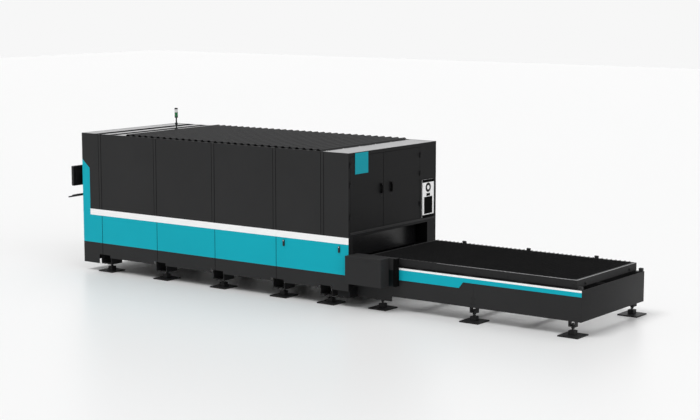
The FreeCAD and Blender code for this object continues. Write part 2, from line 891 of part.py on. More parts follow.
# ---- operator's end ---------------------------------------------------------------------------------
def left_end_wall():
    """The end cover, with the doorway, the lifting door's rails and the console's socket."""
    outer_x = cabin_left_x
    inner_x = cabin_left_x + panel_depth
    wall = block(outer_x, inner_x, near_in, far_in, skirt_low_z, cabin_height)
    wall = wall.cut(block(outer_x + sheet, inner_x + 1, near_in + sheet, far_in - sheet,
                          skirt_low_z + sheet, cabin_height - sheet))
    wall = wall.cut(block(outer_x - 1, inner_x + 1, doorway_near_y, doorway_far_y,
                          doorway_low_z, doorway_top_z))
    frame = block(outer_x, inner_x, doorway_near_y - door_frame, doorway_far_y + door_frame,
                  doorway_low_z - door_frame, doorway_top_z + door_frame)
    frame = frame.cut(block(outer_x - 1, inner_x + 1, doorway_near_y, doorway_far_y,
                            doorway_low_z, doorway_top_z))
    rear = inner_x + slide_gap + lift_door_thick + slide_gap
    near_edge = doorway_near_y - lift_door_lap - slide_gap
    far_edge = doorway_far_y + lift_door_lap + slide_gap
    sill_top = doorway_low_z - lift_door_lap - lift_sill_gap
    top = doorway_top_z + lift_door_lap + lift_door_travel
    pieces = [wall, frame]
    for edge, away in ((near_edge, -1), (far_edge, 1)):
        outer = edge + away * lift_guide_width
        pieces.append(block(outer_x + sheet, rear, min(edge, outer), max(edge, outer),
                            sill_top - lift_sill_height, top))
        inner = edge - away * lift_guide_lip
        pieces.append(block(rear, rear + lift_guide_sheet, min(inner, outer), max(inner, outer),
                            sill_top - lift_sill_height, top))
    pieces.append(block(outer_x + sheet, rear, near_edge, far_edge, sill_top - lift_sill_height,
                        sill_top))
    socket_low = console_z - console_socket_height / 2
    socket = rod(vec(console_axis_x, console_y, socket_low), vec(0, 0, 1), console_socket_r,
                 console_socket_height)
    bridge = block(console_axis_x, outer_x, console_y - console_socket_r,
                   console_y + console_socket_r, socket_low, socket_low + console_socket_height)
    pieces.append(fuse([socket, bridge]))
    wall = fuse(pieces)
    bore = rod(vec(console_axis_x, console_y, 0), vec(0, 0, 1), console_post_r + bore_gap,
               cabin_height)
    return wall.cut(bore)


def operator_door():
    """The lifting door, with a rebate for its window and a finger pull under it."""
    front = cabin_left_x + panel_depth + slide_gap
    back = front + lift_door_thick
    near = doorway_near_y - lift_door_lap
    far = doorway_far_y + lift_door_lap
    low = doorway_low_z - lift_door_lap
    top = doorway_top_z + lift_door_lap
    leaf = block(front, back, near, far, low, top)
    opening = block(front - 1, back + 1, window_near_y, window_far_y, window_low_z, window_top_z)
    rebate = block(front + (lift_door_thick - window_pane) / 2, back + 1,
                   window_near_y - window_lap, window_far_y + window_lap,
                   window_low_z - window_lap, window_top_z + window_lap)
    pull_y = (window_near_y + window_far_y - finger_pull_width) / 2
    pull = block(front - 1, front + finger_pull_depth, pull_y, pull_y + finger_pull_width,
                 finger_pull_z, finger_pull_z + finger_pull_height)
    return leaf.cut(opening).cut(rebate).cut(pull)


def operator_window():
    front = cabin_left_x + panel_depth + slide_gap + (lift_door_thick - window_pane) / 2
    return block(front, front + window_pane, window_near_y - window_lap,
                 window_far_y + window_lap, window_low_z - window_lap, window_top_z + window_lap)


# ---- operator's console ---------------------------------------------------------------------------
def console_arm():
    """A swivel post in the wall's socket, an arm, a drop tube and the monitor's bracket."""
    low = console_z - console_socket_height / 2
    post = rod(vec(console_axis_x, console_y, low), vec(0, 0, 1), console_post_r,
               console_socket_height + console_tube)
    arm_low = low + console_socket_height + slide_gap
    half = console_tube / 2
    arm = block(monitor_x + monitor_plate, console_axis_x + console_post_r, console_y - half,
                console_y + half, arm_low, arm_low + console_tube)
    drop = block(drop_x - half, drop_x + half, console_y - half, console_y + half,
                 tray_boss_low_z, arm_low)
    size = monitor_plate_size / 2
    middle_z = monitor_low_z + monitor_height / 2
    plate = block(monitor_x, monitor_x + monitor_plate, console_y - size, console_y + size,
                  middle_z - size, middle_z + size)
    return fuse([post, arm, drop, plate])


def monitor():
    front = monitor_x - monitor_thick
    near = console_y - monitor_width / 2
    top = monitor_low_z + monitor_height
    body = block(front, monitor_x, near, near + monitor_width, monitor_low_z, top)
    edges = [edge for edge in body.Edges if abs(edge.BoundBox.XLength - monitor_thick) < 0.01]
    body = body.makeFillet(monitor_corner_r, edges)
    bezel = monitor_bezel
    pane = block(front - 1, front + monitor_pane_set, near + bezel, near + monitor_width - bezel,
                 monitor_low_z + bezel, top - bezel)
    return body.cut(pane)


def tray_top_z(x):
    return tray_back_z - (tray_back_x - x) * math.tan(math.radians(tray_slope))


def keyboard_tray():
    """A sloping shelf, carried on the drop tube by a boss."""
    near = console_y - tray_width / 2
    front_x = tray_back_x - tray_depth
    front_z = tray_top_z(front_x)
    shelf = plate_xz([(tray_back_x, tray_back_z), (front_x, front_z), (front_x, front_z - tray_thick),
                      (tray_back_x, tray_back_z - tray_thick)], near, near + tray_width)
    half = console_tube / 2
    left = drop_x - half - tray_boss_wall
    right = drop_x + half + tray_boss_wall
    boss = plate_xz([(left, tray_boss_low_z), (right, tray_boss_low_z),
                     (right, tray_top_z(right) - tray_thick / 2),
                     (left, tray_top_z(left) - tray_thick / 2)],
                    console_y - half - tray_boss_wall, console_y + half + tray_boss_wall)
    hole = block(drop_x - half, drop_x + half, console_y - half, console_y + half, 0,
                 cabin_height)
    return fuse([shelf, boss]).cut(hole)


# ---- roof -----------------------------------------------------------------------------------------
def roof_tray(left, right):
    near = near_in + roof_margin
    far = far_in - roof_margin
    tray = block(left, right, near, far, frame_top_z, roof_sheet_z)
    return tray.cut(block(left + sheet, right - sheet, near + sheet, far - sheet, frame_top_z - 1,
                          roof_sheet_z - sheet))


def roof_bellows():
    """The folded roof cover: one skin, in straight folds across the machine."""
    right = cover_bar_x
    pitch = (right - bellows_left_x) / bellows_fold_count
    low = frame_top_z + slide_gap
    ridge = low + bellows_rise
    top_side = []
    under_side = []
    for fold in range(bellows_fold_count):
        x = bellows_left_x + fold * pitch
        top_side += [(x, low + bellows_skin), (x + pitch / 2, ridge)]
        under_side += [(x, low), (x + pitch / 2, ridge - bellows_skin)]
    top_side.append((right, low + bellows_skin))
    under_side.append((right, low))
    outline = under_side + top_side[::-1]
    return plate_xz(outline, near_in + roof_margin, far_in - roof_margin)


def roof_cover_bar():
    low = frame_top_z + slide_gap
    near = near_in + roof_margin
    far = far_in - roof_margin
    right = end_plate_x - slide_gap
    top = low + cover_bar_height
    bar = tube_y(cover_bar_x, right, near, far, low, top, cover_bar_skin)
    grip_left = cover_bar_x + cover_grip_inset
    grip_right = right - cover_grip_inset
    grip_near = centre_y - cover_grip_width / 2
    grip = block(grip_left, grip_right, grip_near, grip_near + cover_grip_width, top,
                 top + cover_grip_rise)
    grip = grip.cut(block(grip_left - 1, grip_right + 1, grip_near + cover_grip_thick,
                          grip_near + cover_grip_width - cover_grip_thick, top - 1,
                          top + cover_grip_rise - cover_grip_thick))
    return fuse([bar, grip])


# ---- signal tower ---------------------------------------------------------------------------------
def tower_ring(low, radius, height):
    return prism(tower_x, tower_y, low, radius, tower_sides, height)


def tower_pole():
    foot = tower_ring(roof_sheet_z, tower_base_r, tower_base_height)
    pole = tower_ring(roof_sheet_z, tower_pole_r, tower_pole_top_z - roof_sheet_z)
    middle = (roof_sheet_z + tower_pole_top_z) / 2
    clamp = tower_ring(middle - tower_clamp_height / 2, tower_clamp_r, tower_clamp_height)
    seat = tower_ring(tower_pole_top_z, tower_lamp_r, tower_socket_height)
    spine = tower_ring(tower_green_z, tower_spine_r, tower_cap_z - tower_green_z)
    lid = tower_ring(tower_cap_z, tower_lamp_r, tower_cap_height)
    return fuse([foot, pole, clamp, seat, spine, lid])


def tower_lens(low, height):
    ring = tower_ring(low, tower_lens_r, height)
    return ring.cut(tower_ring(low, tower_spine_r, height))


# ---- exchange base --------------------------------------------------------------------------------
def base_side():
    """The near side of the base: web, flanges and lower track."""
    near = base_near_y + skirt_thick
    inside = base_near_y + base_flange_width
    pieces = [block(base_left_x, base_right_x, near, near + base_web, base_low_z, base_top_z)]
    pieces[0] = pieces[0].cut(block(base_joint_x, base_joint_x + base_joint_gap, near - 1, near + 3,
                                    base_low_z, teal_narrow_z))
    pieces.append(block(base_left_x, web_drop_right_x, near, near + base_web,
                        base_low_z - web_drop, base_low_z + 1))
    lower_track = base_top_z - table_drop
    for low in (base_top_z - base_flange, lower_track - base_flange, base_low_z):
        pieces.append(block(base_left_x, base_right_x, near, inside, low, low + base_flange))
    stop_x = base_right_x - base_web - end_stop
    pieces.append(block(stop_x, stop_x + end_stop, near + base_web, near + base_web + end_stop,
                        base_top_z, base_top_z + end_stop_height))
    return pieces


def base_frame():
    near = base_side()
    far = [mirrored(piece) for piece in near]
    inner_near = base_near_y + skirt_thick + base_web
    inner_far = cabin_width - inner_near
    pieces = near + far
    span = base_right_x - base_web - base_cross_width - base_left_x
    for place in range(base_cross_count):
        x = base_left_x + span * place / (base_cross_count - 1)
        pieces.append(tube_y(x, x + base_cross_width, inner_near, inner_far, base_low_z,
                             base_low_z + base_cross_height, base_web))
    pieces.append(block(base_right_x - base_web, base_right_x, base_near_y + skirt_thick,
                        base_far_y - skirt_thick, base_low_z, base_top_z))
    return fuse(pieces)


def base_skirt():
    slant_x = teal_step_x + teal_slant
    points = [(skirt_left_x, teal_wide_z), (teal_step_x, teal_wide_z), (slant_x, teal_narrow_z),
              (base_right_x, teal_narrow_z), (base_right_x, stripe_base_z),
              (skirt_left_x, stripe_base_z)]
    return plate_xz(points, base_near_y, base_near_y + skirt_thick)


def base_stripe():
    return block(skirt_left_x, base_right_x, base_near_y, base_near_y + skirt_thick,
                 stripe_base_z, base_top_z)


def drive_box():
    """The housing of the exchange drive, beside the base and against the cabin."""
    back = base_near_y + skirt_thick
    main = block(slide_gap, drive_right_x, drive_front_y, back, drive_low_z, drive_top_z)
    corners = [edge for edge in main.Edges
               if edge.BoundBox.ZLength > 1 and edge.BoundBox.YMax < drive_front_y + 1
               and edge.BoundBox.XMin > drive_right_x - 1]
    main = main.makeFillet(drive_corner_r, corners)
    wing = block(drive_right_x - 1, wing_right_x, wing_front_y, base_near_y - slide_gap,
                 drive_low_z, drive_top_z)
    lid_z = drive_top_z - drive_lid
    lid_line = block(-1, drive_right_x + 1, drive_front_y - 1, drive_front_y + drive_lid_groove,
                     lid_z, lid_z + drive_lid_gap)
    return fuse([main.cut(lid_line), wing])


# ---- exchange tables ------------------------------------------------------------------------------
def table_frame():
    """A welded pallet frame with slat ledges, guide shoes and three sheet stops."""
    left = table_left_x
    right = table_right_x
    near = table_near_y
    far = table_far_y
    rail = table_rail
    outer = block(left, right, near, far, table_low_z, table_rail_top_z)
    inner = block(left + rail, right - rail, near + rail, far - rail, 0, cabin_height)
    pieces = [outer.cut(inner)]
    ledge_low = table_ledge_z - table_ledge
    for y in (near + rail, far - rail - table_ledge * 2):
        pieces.append(block(left + rail, right - rail, y, y + table_ledge * 2, ledge_low,
                            table_ledge_z))
    span = right - left - 2 * rail
    for place in range(table_cross_count):
        x = left + rail + span * (place + 1) / (table_cross_count + 1) - rail / 2
        pieces.append(block(x, x + rail, near + rail, far - rail, table_low_z, table_ledge_z - 1))
    pitch = (right - left - shoe_length) / (shoe_count - 1)
    for place in range(shoe_count):
        x = left + pitch * place
        for y in (near + 1, far - 1 - shoe_width):
            pieces.append(block(x, x + shoe_length, y, y + shoe_width, table_low_z - shoe_height,
                                table_low_z))
    for x in sheet_stop_xs:
        half = sheet_stop_width / 2
        pieces.append(block(x - half, x + half, far - rail / 2, far, table_rail_top_z,
                            table_rail_top_z + sheet_stop_rise))
    return fuse(pieces)


def slats(teeth):
    """A row of upright saw-tooth slats that stand on the frame's ledges."""
    near = table_near_y + table_rail + slide_gap
    far = table_far_y - table_rail - slide_gap
    pitch_y = (far - near) / teeth
    points = [(near, table_ledge_z), (far, table_ledge_z)]
    for tooth in range(teeth, 0, -1):
        points.append((near + pitch_y * tooth, slat_tip_z - slat_tooth_depth))
        points.append((near + pitch_y * (tooth - 0.5), slat_tip_z))
    points.append((near, slat_tip_z - slat_tooth_depth))
    left = table_left_x + table_rail
    right = table_right_x - table_rail
    pitch = (right - left) / slat_count
    first = plate_yz(points, left + pitch / 2 - slat_thick / 2, left + pitch / 2 + slat_thick / 2)
    row = []
    for place in range(slat_count):
        slat = first.copy()
        slat.translate(vec(pitch * place, 0, 0))
        row.append(slat)
    return group(row)


def in_cabin(shape):
    """The same table on the lower track, inside the cabin."""
    moved = shape.copy()
    moved.translate(vec(-table_travel, 0, -table_drop))
    return moved


# ---- gantry and cutting head ----------------------------------------------------------------------
def gantry_beam():
    """The cross beam with its end carriages and its two cross rails."""
    half = gantry_width / 2
    near = bed_wall_offset
    far = cabin_width - bed_wall_offset
    low = bed_wall_top_z + rail_height + slide_gap
    beam = tube_y(gantry_x - half, gantry_x + half, near, far, gantry_low_z, gantry_top_z,
                  gantry_skin)
    pieces = [beam]
    reach = carriage_length / 2
    for y in (near - carriage_lap, far - bed_wall - carriage_lap):
        pieces.append(block(gantry_x - reach, gantry_x + reach, y,
                            y + bed_wall + 2 * carriage_lap, low, gantry_low_z))
    face = gantry_x + half
    rail_lows = (gantry_low_z + cross_rail_inset,
                 gantry_top_z - cross_rail_inset - cross_rail_height)
    for z in rail_lows:
        pieces.append(block(face, face + cross_rail, near + cross_rail_end, far - cross_rail_end,
                            z, z + cross_rail_height))
    return fuse(pieces)


def head_carriage():
    """The plate on the cross rails, with the two upright slides of the head."""
    face = gantry_x + gantry_width / 2 + cross_rail + slide_gap
    half = head_plate_width / 2
    front = face + head_plate
    plate = block(face, front, head_y - half, head_y + half, head_plate_low_z, head_plate_top_z)
    slides = []
    for side in (-1, 1):
        middle = head_y + side * head_slide_pitch / 2
        slides.append(block(front, front + head_slide, middle - head_slide_width / 2,
                            middle + head_slide_width / 2, head_plate_low_z, head_plate_top_z))
    return fuse([plate] + slides)


def cutting_head():
    """The head: saddle, body, collimator barrel and a tapered nozzle."""
    back = gantry_x + gantry_width / 2 + cross_rail + slide_gap + head_plate + head_slide + slide_gap
    front = back + saddle_thick
    half = saddle_width / 2
    saddle = block(back, front, head_y - half, head_y + half, saddle_low_z, saddle_top_z)
    middle = front + head_body / 2
    body = block(front, front + head_body, head_y - head_body / 2, head_y + head_body / 2,
                 head_low_z, head_body_top_z)
    barrel = prism(middle, head_y, head_body_top_z, collimator_r, tower_sides,
                   head_top_z - head_body_top_z)
    nozzle = taper(middle, head_y, nozzle_tip_z, nozzle_tip_r, head_low_z, nozzle_top_r,
                   nozzle_sides)
    return fuse([saddle, body, barrel, nozzle])


# ---- all nodes ------------------------------------------------------------------------------------
def make_nodes():
    nodes = {}
    nodes["bed"] = bed()
    nodes["cabin_frame"] = cabin_frame()
    nodes["linear_rails"] = linear_rails()
    near_skirt = skirt()
    nodes["plinth_near"] = near_skirt
    nodes["plinth_far"] = mirrored(near_skirt)
    nodes["end_frame"] = end_frame()
    nodes["left_end_wall"] = left_end_wall()
    for index in range(bay_count):
        nodes["teal_panel_%d" % (index + 1)] = folded_panel(teal_outline(index))
    for index, outline in enumerate(upper_outlines()):
        nodes["upper_panel_%d" % (index + 1)] = folded_panel(outline)
    nodes["stripe_near"] = stripe_bar()
    nodes["stripe_far"] = mirrored(stripe_bar())
    far_teal = [mirrored(folded_panel(teal_outline(index))) for index in range(bay_count)]
    nodes["teal_panels_far"] = group(far_teal)
    far_upper = [mirrored(folded_panel(outline)) for outline in upper_outlines()]
    nodes["upper_panels_far"] = group(far_upper)
    nodes["roof_strips"] = group([roof_tray(left, right) for left, right in roof_strips])
    nodes["roof_end_plate"] = roof_tray(end_plate_x, -face_skin)
    nodes["roof_bellows"] = roof_bellows()
    nodes["roof_cover_bar"] = roof_cover_bar()
    nodes["electrical_cabinet"] = electrical_cabinet()
    nodes["switchgear_plate"] = switchgear_plate()
    nodes["door_hinges"] = door_hinges()
    nodes["door_left"] = door_leaf("left")
    nodes["door_right"] = door_leaf("right")
    nodes["handle_left"] = door_handle(handle_left_y)
    nodes["handle_right"] = door_handle(handle_right_y)
    nodes["badge_plate"] = badge_plate()
    nodes["cooling_unit"] = cooling_unit()
    nodes["gate"] = gate()
    nodes["latch_1"] = latch(latch_xs[0])
    nodes["latch_2"] = latch(latch_xs[1])
    nodes["operator_door"] = operator_door()
    nodes["operator_window"] = operator_window()
    nodes["console_arm"] = console_arm()
    nodes["monitor"] = monitor()
    nodes["keyboard_tray"] = keyboard_tray()
    nodes["tower_pole"] = tower_pole()
    nodes["tower_lens_green"] = tower_lens(tower_green_z, tower_green_height)
    nodes["tower_lens_clear"] = tower_lens(tower_clear_z, tower_clear_height)
    nodes["foot_brackets"] = foot_brackets()
    nodes["levelling_feet"] = group([levelling_foot(x, y) for x, y in foot_places()])
    nodes["base_frame"] = base_frame()
    nodes["base_skirt"] = base_skirt()
    nodes["base_stripe"] = base_stripe()
    nodes["drive_box"] = drive_box()
    frame = table_frame()
    nodes["upper_table_frame"] = frame
    nodes["upper_table_slats"] = slats(upper_tooth_count)
    nodes["lower_table_frame"] = in_cabin(frame)
    nodes["lower_table_slats"] = in_cabin(slats(lower_tooth_count))
    nodes["gantry_beam"] = gantry_beam()
    nodes["head_carriage"] = head_carriage()
    nodes["cutting_head"] = cutting_head()
    return nodes


def export_all():
    os.makedirs("parts", exist_ok=True)
    for name, shape in make_nodes().items():
        placed = shape.copy()
        placed.translate(vec(-origin_x, -origin_y, 0))
        placed.exportStep("parts/%s.step" % name)
        print(name, len(placed.Solids), round(placed.Volume / 1e9, 5), placed.isValid())


export_all()
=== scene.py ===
import json
import math

import bmesh
import bpy
from mathutils import Matrix, Vector


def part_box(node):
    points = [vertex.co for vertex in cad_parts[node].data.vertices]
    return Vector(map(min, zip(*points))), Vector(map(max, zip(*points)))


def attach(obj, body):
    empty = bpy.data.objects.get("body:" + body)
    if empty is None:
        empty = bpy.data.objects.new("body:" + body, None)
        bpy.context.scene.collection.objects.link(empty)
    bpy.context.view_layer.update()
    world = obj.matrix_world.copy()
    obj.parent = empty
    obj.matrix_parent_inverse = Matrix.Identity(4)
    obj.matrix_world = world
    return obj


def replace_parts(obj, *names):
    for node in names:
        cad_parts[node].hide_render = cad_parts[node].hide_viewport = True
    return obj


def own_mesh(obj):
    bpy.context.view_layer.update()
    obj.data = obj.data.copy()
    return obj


# Looks of an enclosed laser cutting machine with an exchange table.
# +X runs towards the exchange base, the long near side faces -Y, and +Z is up.
# Shapes are drawn in millimetres, and make_pieces() brings them to metres.

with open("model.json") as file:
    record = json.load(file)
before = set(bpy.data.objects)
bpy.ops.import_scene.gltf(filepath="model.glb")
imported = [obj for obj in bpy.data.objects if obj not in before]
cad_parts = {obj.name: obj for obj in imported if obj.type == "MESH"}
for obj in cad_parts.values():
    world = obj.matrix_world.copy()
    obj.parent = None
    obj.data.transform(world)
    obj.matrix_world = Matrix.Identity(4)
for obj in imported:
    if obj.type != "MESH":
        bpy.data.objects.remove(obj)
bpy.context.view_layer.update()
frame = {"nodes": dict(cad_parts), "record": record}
nodes = frame["nodes"]
MM = 0.001
FULL_TURN = 2 * math.pi
X, Y, Z = (direction.copy() for direction in Matrix.Identity(3))


# ---- shader nodes ----
def node(tree, kind, **settings):
    """A new shader node with its own settings."""
    made = tree.nodes.new("ShaderNode" + kind)
    for label, value in settings.items():
        setattr(made, label, value)
    return made


def preset(target, values):
    """Sets plain values on a node's sockets, by their labels."""
    for label, value in values.items():
        target.inputs[label].default_value = value


def feed(tree, value, socket):
    """Gives a socket a plain value or the result of another node."""
    if isinstance(value, bpy.types.NodeSocket):
        tree.links.new(value, socket)
    else:
        socket.default_value = value


def arithmetic(tree, operation, first, second, clamped=False):
    """One step of arithmetic on two numbers or results."""
    step = node(tree, "Math", operation=operation, use_clamp=clamped)
    feed(tree, first, step.inputs[0])
    feed(tree, second, step.inputs[1])
    return step.outputs["Value"]


def blended(tree, factor, first, second):
    """Blends two tones, each a colour or the result of another node."""
    mix = node(tree, "Mix", data_type="RGBA")
    tree.links.new(factor, mix.inputs["Factor"])
    tones = [socket for socket in mix.inputs if socket.type == "RGBA"]
    feed(tree, first, tones[0])
    feed(tree, second, tones[1])
    return [socket for socket in mix.outputs if socket.type == "RGBA"][0]


# ---- effects that several finishes share ----
CLOUD_RANGE = {"From Min": 0.35, "From Max": 0.65}
CLOTH_CLOUD = 3.0


def effect(name, inputs, outputs):
    """An empty node group with named sockets, and its inner ends to link to."""
    group = bpy.data.node_groups.new(name, "ShaderNodeTree")
    for label in (*inputs, *outputs):
        way = "INPUT" if label in inputs else "OUTPUT"
        socket = group.interface.new_socket(name=label, in_out=way, socket_type="NodeSocketFloat")
        socket.default_value = inputs.get(label, 0.0)
    start = group.nodes.new("NodeGroupInput")
    end = group.nodes.new("NodeGroupOutput")
    return group, start.outputs, end.inputs


def spread(group, source):
    """Stretches a noise's middle values over 0 to 1."""
    ramp = node(group, "MapRange")
    preset(ramp, CLOUD_RANGE)
    group.links.new(source, ramp.inputs["Value"])
    return ramp.outputs["Result"]


def noise(group, place, scale, detail=2.0):
    """Soft noise at a scale that is a number or a result."""
    texture = node(group, "TexNoise")
    preset(texture, {"Detail": detail})
    group.links.new(place, texture.inputs["Vector"])
    feed(group, scale, texture.inputs["Scale"])
    return texture.outputs["Fac"]


def powder_grain():
    """The fine orange peel of powder coat, with slow clouds of tone."""
    group, start, end = effect("powder_grain", {"Grain": 600.0, "Cloud": 1.5}, ["Height", "Tone"])
    place = node(group, "TexCoord").outputs["Object"]
    group.links.new(noise(group, place, start["Grain"], 1.0), end["Height"])
    cloud = noise(group, place, start["Cloud"], 3.0)
    group.links.new(spread(group, cloud), end["Tone"])
    return group


def brushed_lines():
    """Fine straight lines along X, as on ground or rolled steel."""
    group, start, end = effect("brushed_lines", {"Lines": 500.0, "Stretch": 0.02},
                               ["Height", "Tone"])
    factors = node(group, "CombineXYZ")
    preset(factors, {"Y": 1.0, "Z": 1.0})
    group.links.new(start["Stretch"], factors.inputs["X"])
    drawn = node(group, "VectorMath", operation="MULTIPLY")
    group.links.new(node(group, "TexCoord").outputs["Object"], drawn.inputs[0])
    group.links.new(factors.outputs["Vector"], drawn.inputs[1])
    lines = noise(group, drawn.outputs["Vector"], start["Lines"])
    group.links.new(lines, end["Height"])
    group.links.new(spread(group, lines), end["Tone"])
    return group


def woven_cloth():
    """The crossed threads of coated cloth, and a painted highlight mask that fades downwards from
    the crests.
    """
    group, start, end = effect("woven_cloth", {"Threads": 420.0, "Crest": 2.2, "Fade": 0.02},
                               ["Height", "Tone", "Painted Highlight"])
    place = node(group, "TexCoord").outputs["Object"]
    bands = []
    for direction in ("X", "Y"):
        wave = node(group, "TexWave", bands_direction=direction)
        group.links.new(place, wave.inputs["Vector"])
        group.links.new(start["Threads"], wave.inputs["Scale"])
        bands.append(wave.outputs["Fac"])
    group.links.new(arithmetic(group, "MAXIMUM", *bands), end["Height"])
    group.links.new(spread(group, noise(group, place, CLOTH_CLOUD)), end["Tone"])
    split = node(group, "SeparateXYZ")
    group.links.new(place, split.inputs["Vector"])
    fall = arithmetic(group, "SUBTRACT", start["Crest"], split.outputs["Z"])
    part = arithmetic(group, "DIVIDE", fall, start["Fade"], clamped=True)
    group.links.new(arithmetic(group, "SUBTRACT", 1.0, part), end["Painted Highlight"])
    return group


POWDER = powder_grain()
BRUSHED = brushed_lines()
WOVEN = woven_cloth()


# ---- finishes ----
finishes = {}


def start_finish(name, values):
    """A new finish, with plain values on its shader's sockets."""
    material = bpy.data.materials.new(name)
    material.use_nodes = True
    finishes[name] = material
    shader = material.node_tree.nodes["Principled BSDF"]
    preset(shader, values)
    return material.node_tree, shader


def grained(tree, shader, group, sizes, depth):
    """Gives a finish the height of one of the effects, and returns the effect's node."""
    grain = node(tree, "Group", node_tree=group)
    preset(grain, sizes)
    bump = node(tree, "Bump")
    preset(bump, {"Strength": depth, "Distance": MM})
    tree.links.new(grain.outputs["Height"], bump.inputs["Height"])
    tree.links.new(bump.outputs["Normal"], shader.inputs["Normal"])
    return grain


def textured(name, group, sizes, colour, change, roughness, depth, metallic=0.0, specular=0.5,
             crest_highlight=None):
    """A finish whose tone and height come from an effect, with a painted highlight tone for lit
    crests.
    """
    tree, shader = start_finish(name, {"Roughness": roughness, "Metallic": metallic,
                                       "Specular IOR Level": specular})
    grain = grained(tree, shader, group, sizes, depth)
    tones = [[min(1.0, channel * share) for channel in colour] + [1]
             for share in (1 - change, 1 + change)]
    tone = blended(tree, grain.outputs["Tone"], *tones)
    if crest_highlight:
        tone = blended(tree, grain.outputs["Painted Highlight"], tone, (*crest_highlight, 1))
    tree.links.new(tone, shader.inputs["Base Color"])


def powder(name, colour, roughness=0.5, specular=0.2, change=0.05, depth=0.25):
    """Powder coat or other paint."""
    textured(name, POWDER, {"Grain": 700.0, "Cloud": 1.4}, colour, change, roughness, depth,
             specular=specular)


def moulded(name, colour, roughness=0.45, grain=1500.0, depth=0.2):
    """Moulded plastic or rubber."""
    textured(name, POWDER, {"Grain": grain, "Cloud": 6.0}, colour, 0.06, roughness, depth,
             specular=0.3)


def steel(name, colour, roughness, lines=500.0):
    """Bare or plated metal with drawn lines."""
    textured(name, BRUSHED, {"Lines": lines}, colour, 0.12, roughness, 0.2, metallic=1.0)


def clear_finish(name, colour, roughness, transmission):
    """Glass or clear plastic."""
    tree, shader = start_finish(name, {"Base Color": (*colour, 1), "Roughness": roughness,
                                       "Transmission Weight": transmission, "IOR": 1.5})
    grained(tree, shader, POWDER, {"Grain": 300.0}, 0.04)


powder("dark_paint", (0.0195, 0.0195, 0.020), 0.52, 0.17)
powder("frame_paint", (0.0175, 0.0175, 0.018), 0.6, 0.17)
powder("teal_paint", (0.0042, 0.408, 0.508), 0.45, 0.1, change=0.02)
powder("white_paint", (0.985, 0.985, 0.985), 0.38, change=0.01)
powder("pale_paint", (0.335, 0.335, 0.34), 0.35, 0.2, change=0.03)
powder("black_metal", (0.009, 0.009, 0.0095))
powder("joint_shadow", (0.003, 0.003, 0.003), 0.8, 0.03)
# A darker copy of the dark paint for the exchange end's face: painted shade for the weaker light on
# that face.
powder("end_face_shade_paint", (0.0070, 0.0070, 0.0074), 0.52, 0.10)
# A copy of the dark paint toned for the light on the base's end face: painted shade.
powder("base_end_shade_paint", (0.0130, 0.0130, 0.0134), 0.52, 0.12)
powder("gate_paint", (0.007, 0.007, 0.0075), 0.27, 0.28, change=0.02, depth=0.05)
powder("cooler_white", (0.97, 0.97, 0.97), 0.3, 0.5, change=0.01)
# A dark teal-tinted tone: painted shade over the base's stripe where it runs behind the drive
# housing.
powder("painted_stripe_shade", (0.0035, 0.0062, 0.0067), 0.35, 0.15)
# A darker copy of the teal paint for the badge on the end face: painted shade.
powder("badge_shade_teal", (0.0015, 0.31, 0.385), 0.4, 0.1, change=0.02)
# The cloth's crests are painted lighter towards their tops: a painted highlight along each crest.
textured("bellows_cloth", WOVEN,
         {"Threads": 420.0, "Crest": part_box("roof_bellows")[1].z, "Fade": 0.016},
         (0.0080, 0.0080, 0.0084), 0.12, 0.55, 0.3, specular=0.11, crest_highlight=(0.0175, 0.0175, 0.0182))
textured("raw_steel", BRUSHED, {"Lines": 160.0, "Stretch": 0.6}, (0.0075, 0.0075, 0.0078), 0.35,
         0.6, 0.3, specular=0.12)
steel("ground_steel", (0.58, 0.58, 0.59), 0.25)
# Bright steel for the strips that paint the highlight along the tables' top edges.
steel("highlight_steel", (0.55, 0.55, 0.56), 0.38, lines=200.0)
steel("zinc_plate", (0.62, 0.62, 0.60), 0.35, lines=90.0)
steel("brass_metal", (0.72, 0.52, 0.20), 0.3, lines=300.0)
moulded("black_plastic", (0.010, 0.010, 0.011))
moulded("grey_plastic", (0.20, 0.21, 0.22), 0.5)
moulded("pale_plastic", (0.60, 0.61, 0.60), 0.5)
moulded("key_plastic", (0.05, 0.05, 0.055), 0.55)
moulded("red_plastic", (0.45, 0.02, 0.015), 0.4)
moulded("lens_white", (0.93, 0.94, 0.93), 0.35)
moulded("rubber", (0.007, 0.007, 0.007), 0.75, 900.0, 0.3)
clear_finish("green_lens", (0.01, 0.24, 0.07), 0.25, 0.2)
clear_finish("clear_lens", (0.95, 0.96, 0.95), 0.35, 0.1)
clear_finish("laser_window", (0.55, 0.22, 0.02), 0.08, 0.75)
clear_finish("dark_glass", (0.006, 0.008, 0.012), 0.08, 0.0)

# The exchange end's dark parts and its badge take darker copies of their paints, as painted shade
# for the weaker light on that face.
shaded_nodes = {
    "end_frame": "end_face_shade_paint", "door_left": "end_face_shade_paint", "door_right": "end_face_shade_paint",
    "electrical_cabinet": "end_face_shade_paint", "gate": "gate_paint", "cooling_unit": "cooler_white",
    "handle_left": "joint_shadow", "handle_right": "joint_shadow", "badge_plate": "badge_shade_teal",
}


def dress_nodes():
    """Each node takes the finish of its slot in the record, or its own from shaded_nodes."""
    for entry in frame["record"]["subparts"]:
        finish = shaded_nodes.get(entry["node"], entry["material_slot"])
        for slot in nodes[entry["node"]].material_slots:
            slot.material = finishes[finish]


# ---- mesh helpers ----
WASHER = ((0, 0.72), (0.12, 0.72))
HEX_HEAD = ((0.12, 0.5), (0.42, 0.5), (0.50, 0.43))
PAN_HEAD = ((0, 0.5), (0.12, 0.5), (0.26, 0.38), (0.30, 0.22), (0.18, 0.20))
shapes = []


def box(name):
    """The lowest and highest corners of a node, in millimetres."""
    return [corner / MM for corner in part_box(name)]


def placed(name, data):
    """A new object in the scene."""
    made = bpy.data.objects.new(name, data)
    bpy.context.scene.collection.objects.link(made)
    return made


def shape(name, finish, body="machine", sharp=32.0):
    """Starts an empty shape, which make_pieces() turns into a piece."""
    bm = bmesh.new()
    shapes.append((name, bm, finish, body, sharp))
    return bm


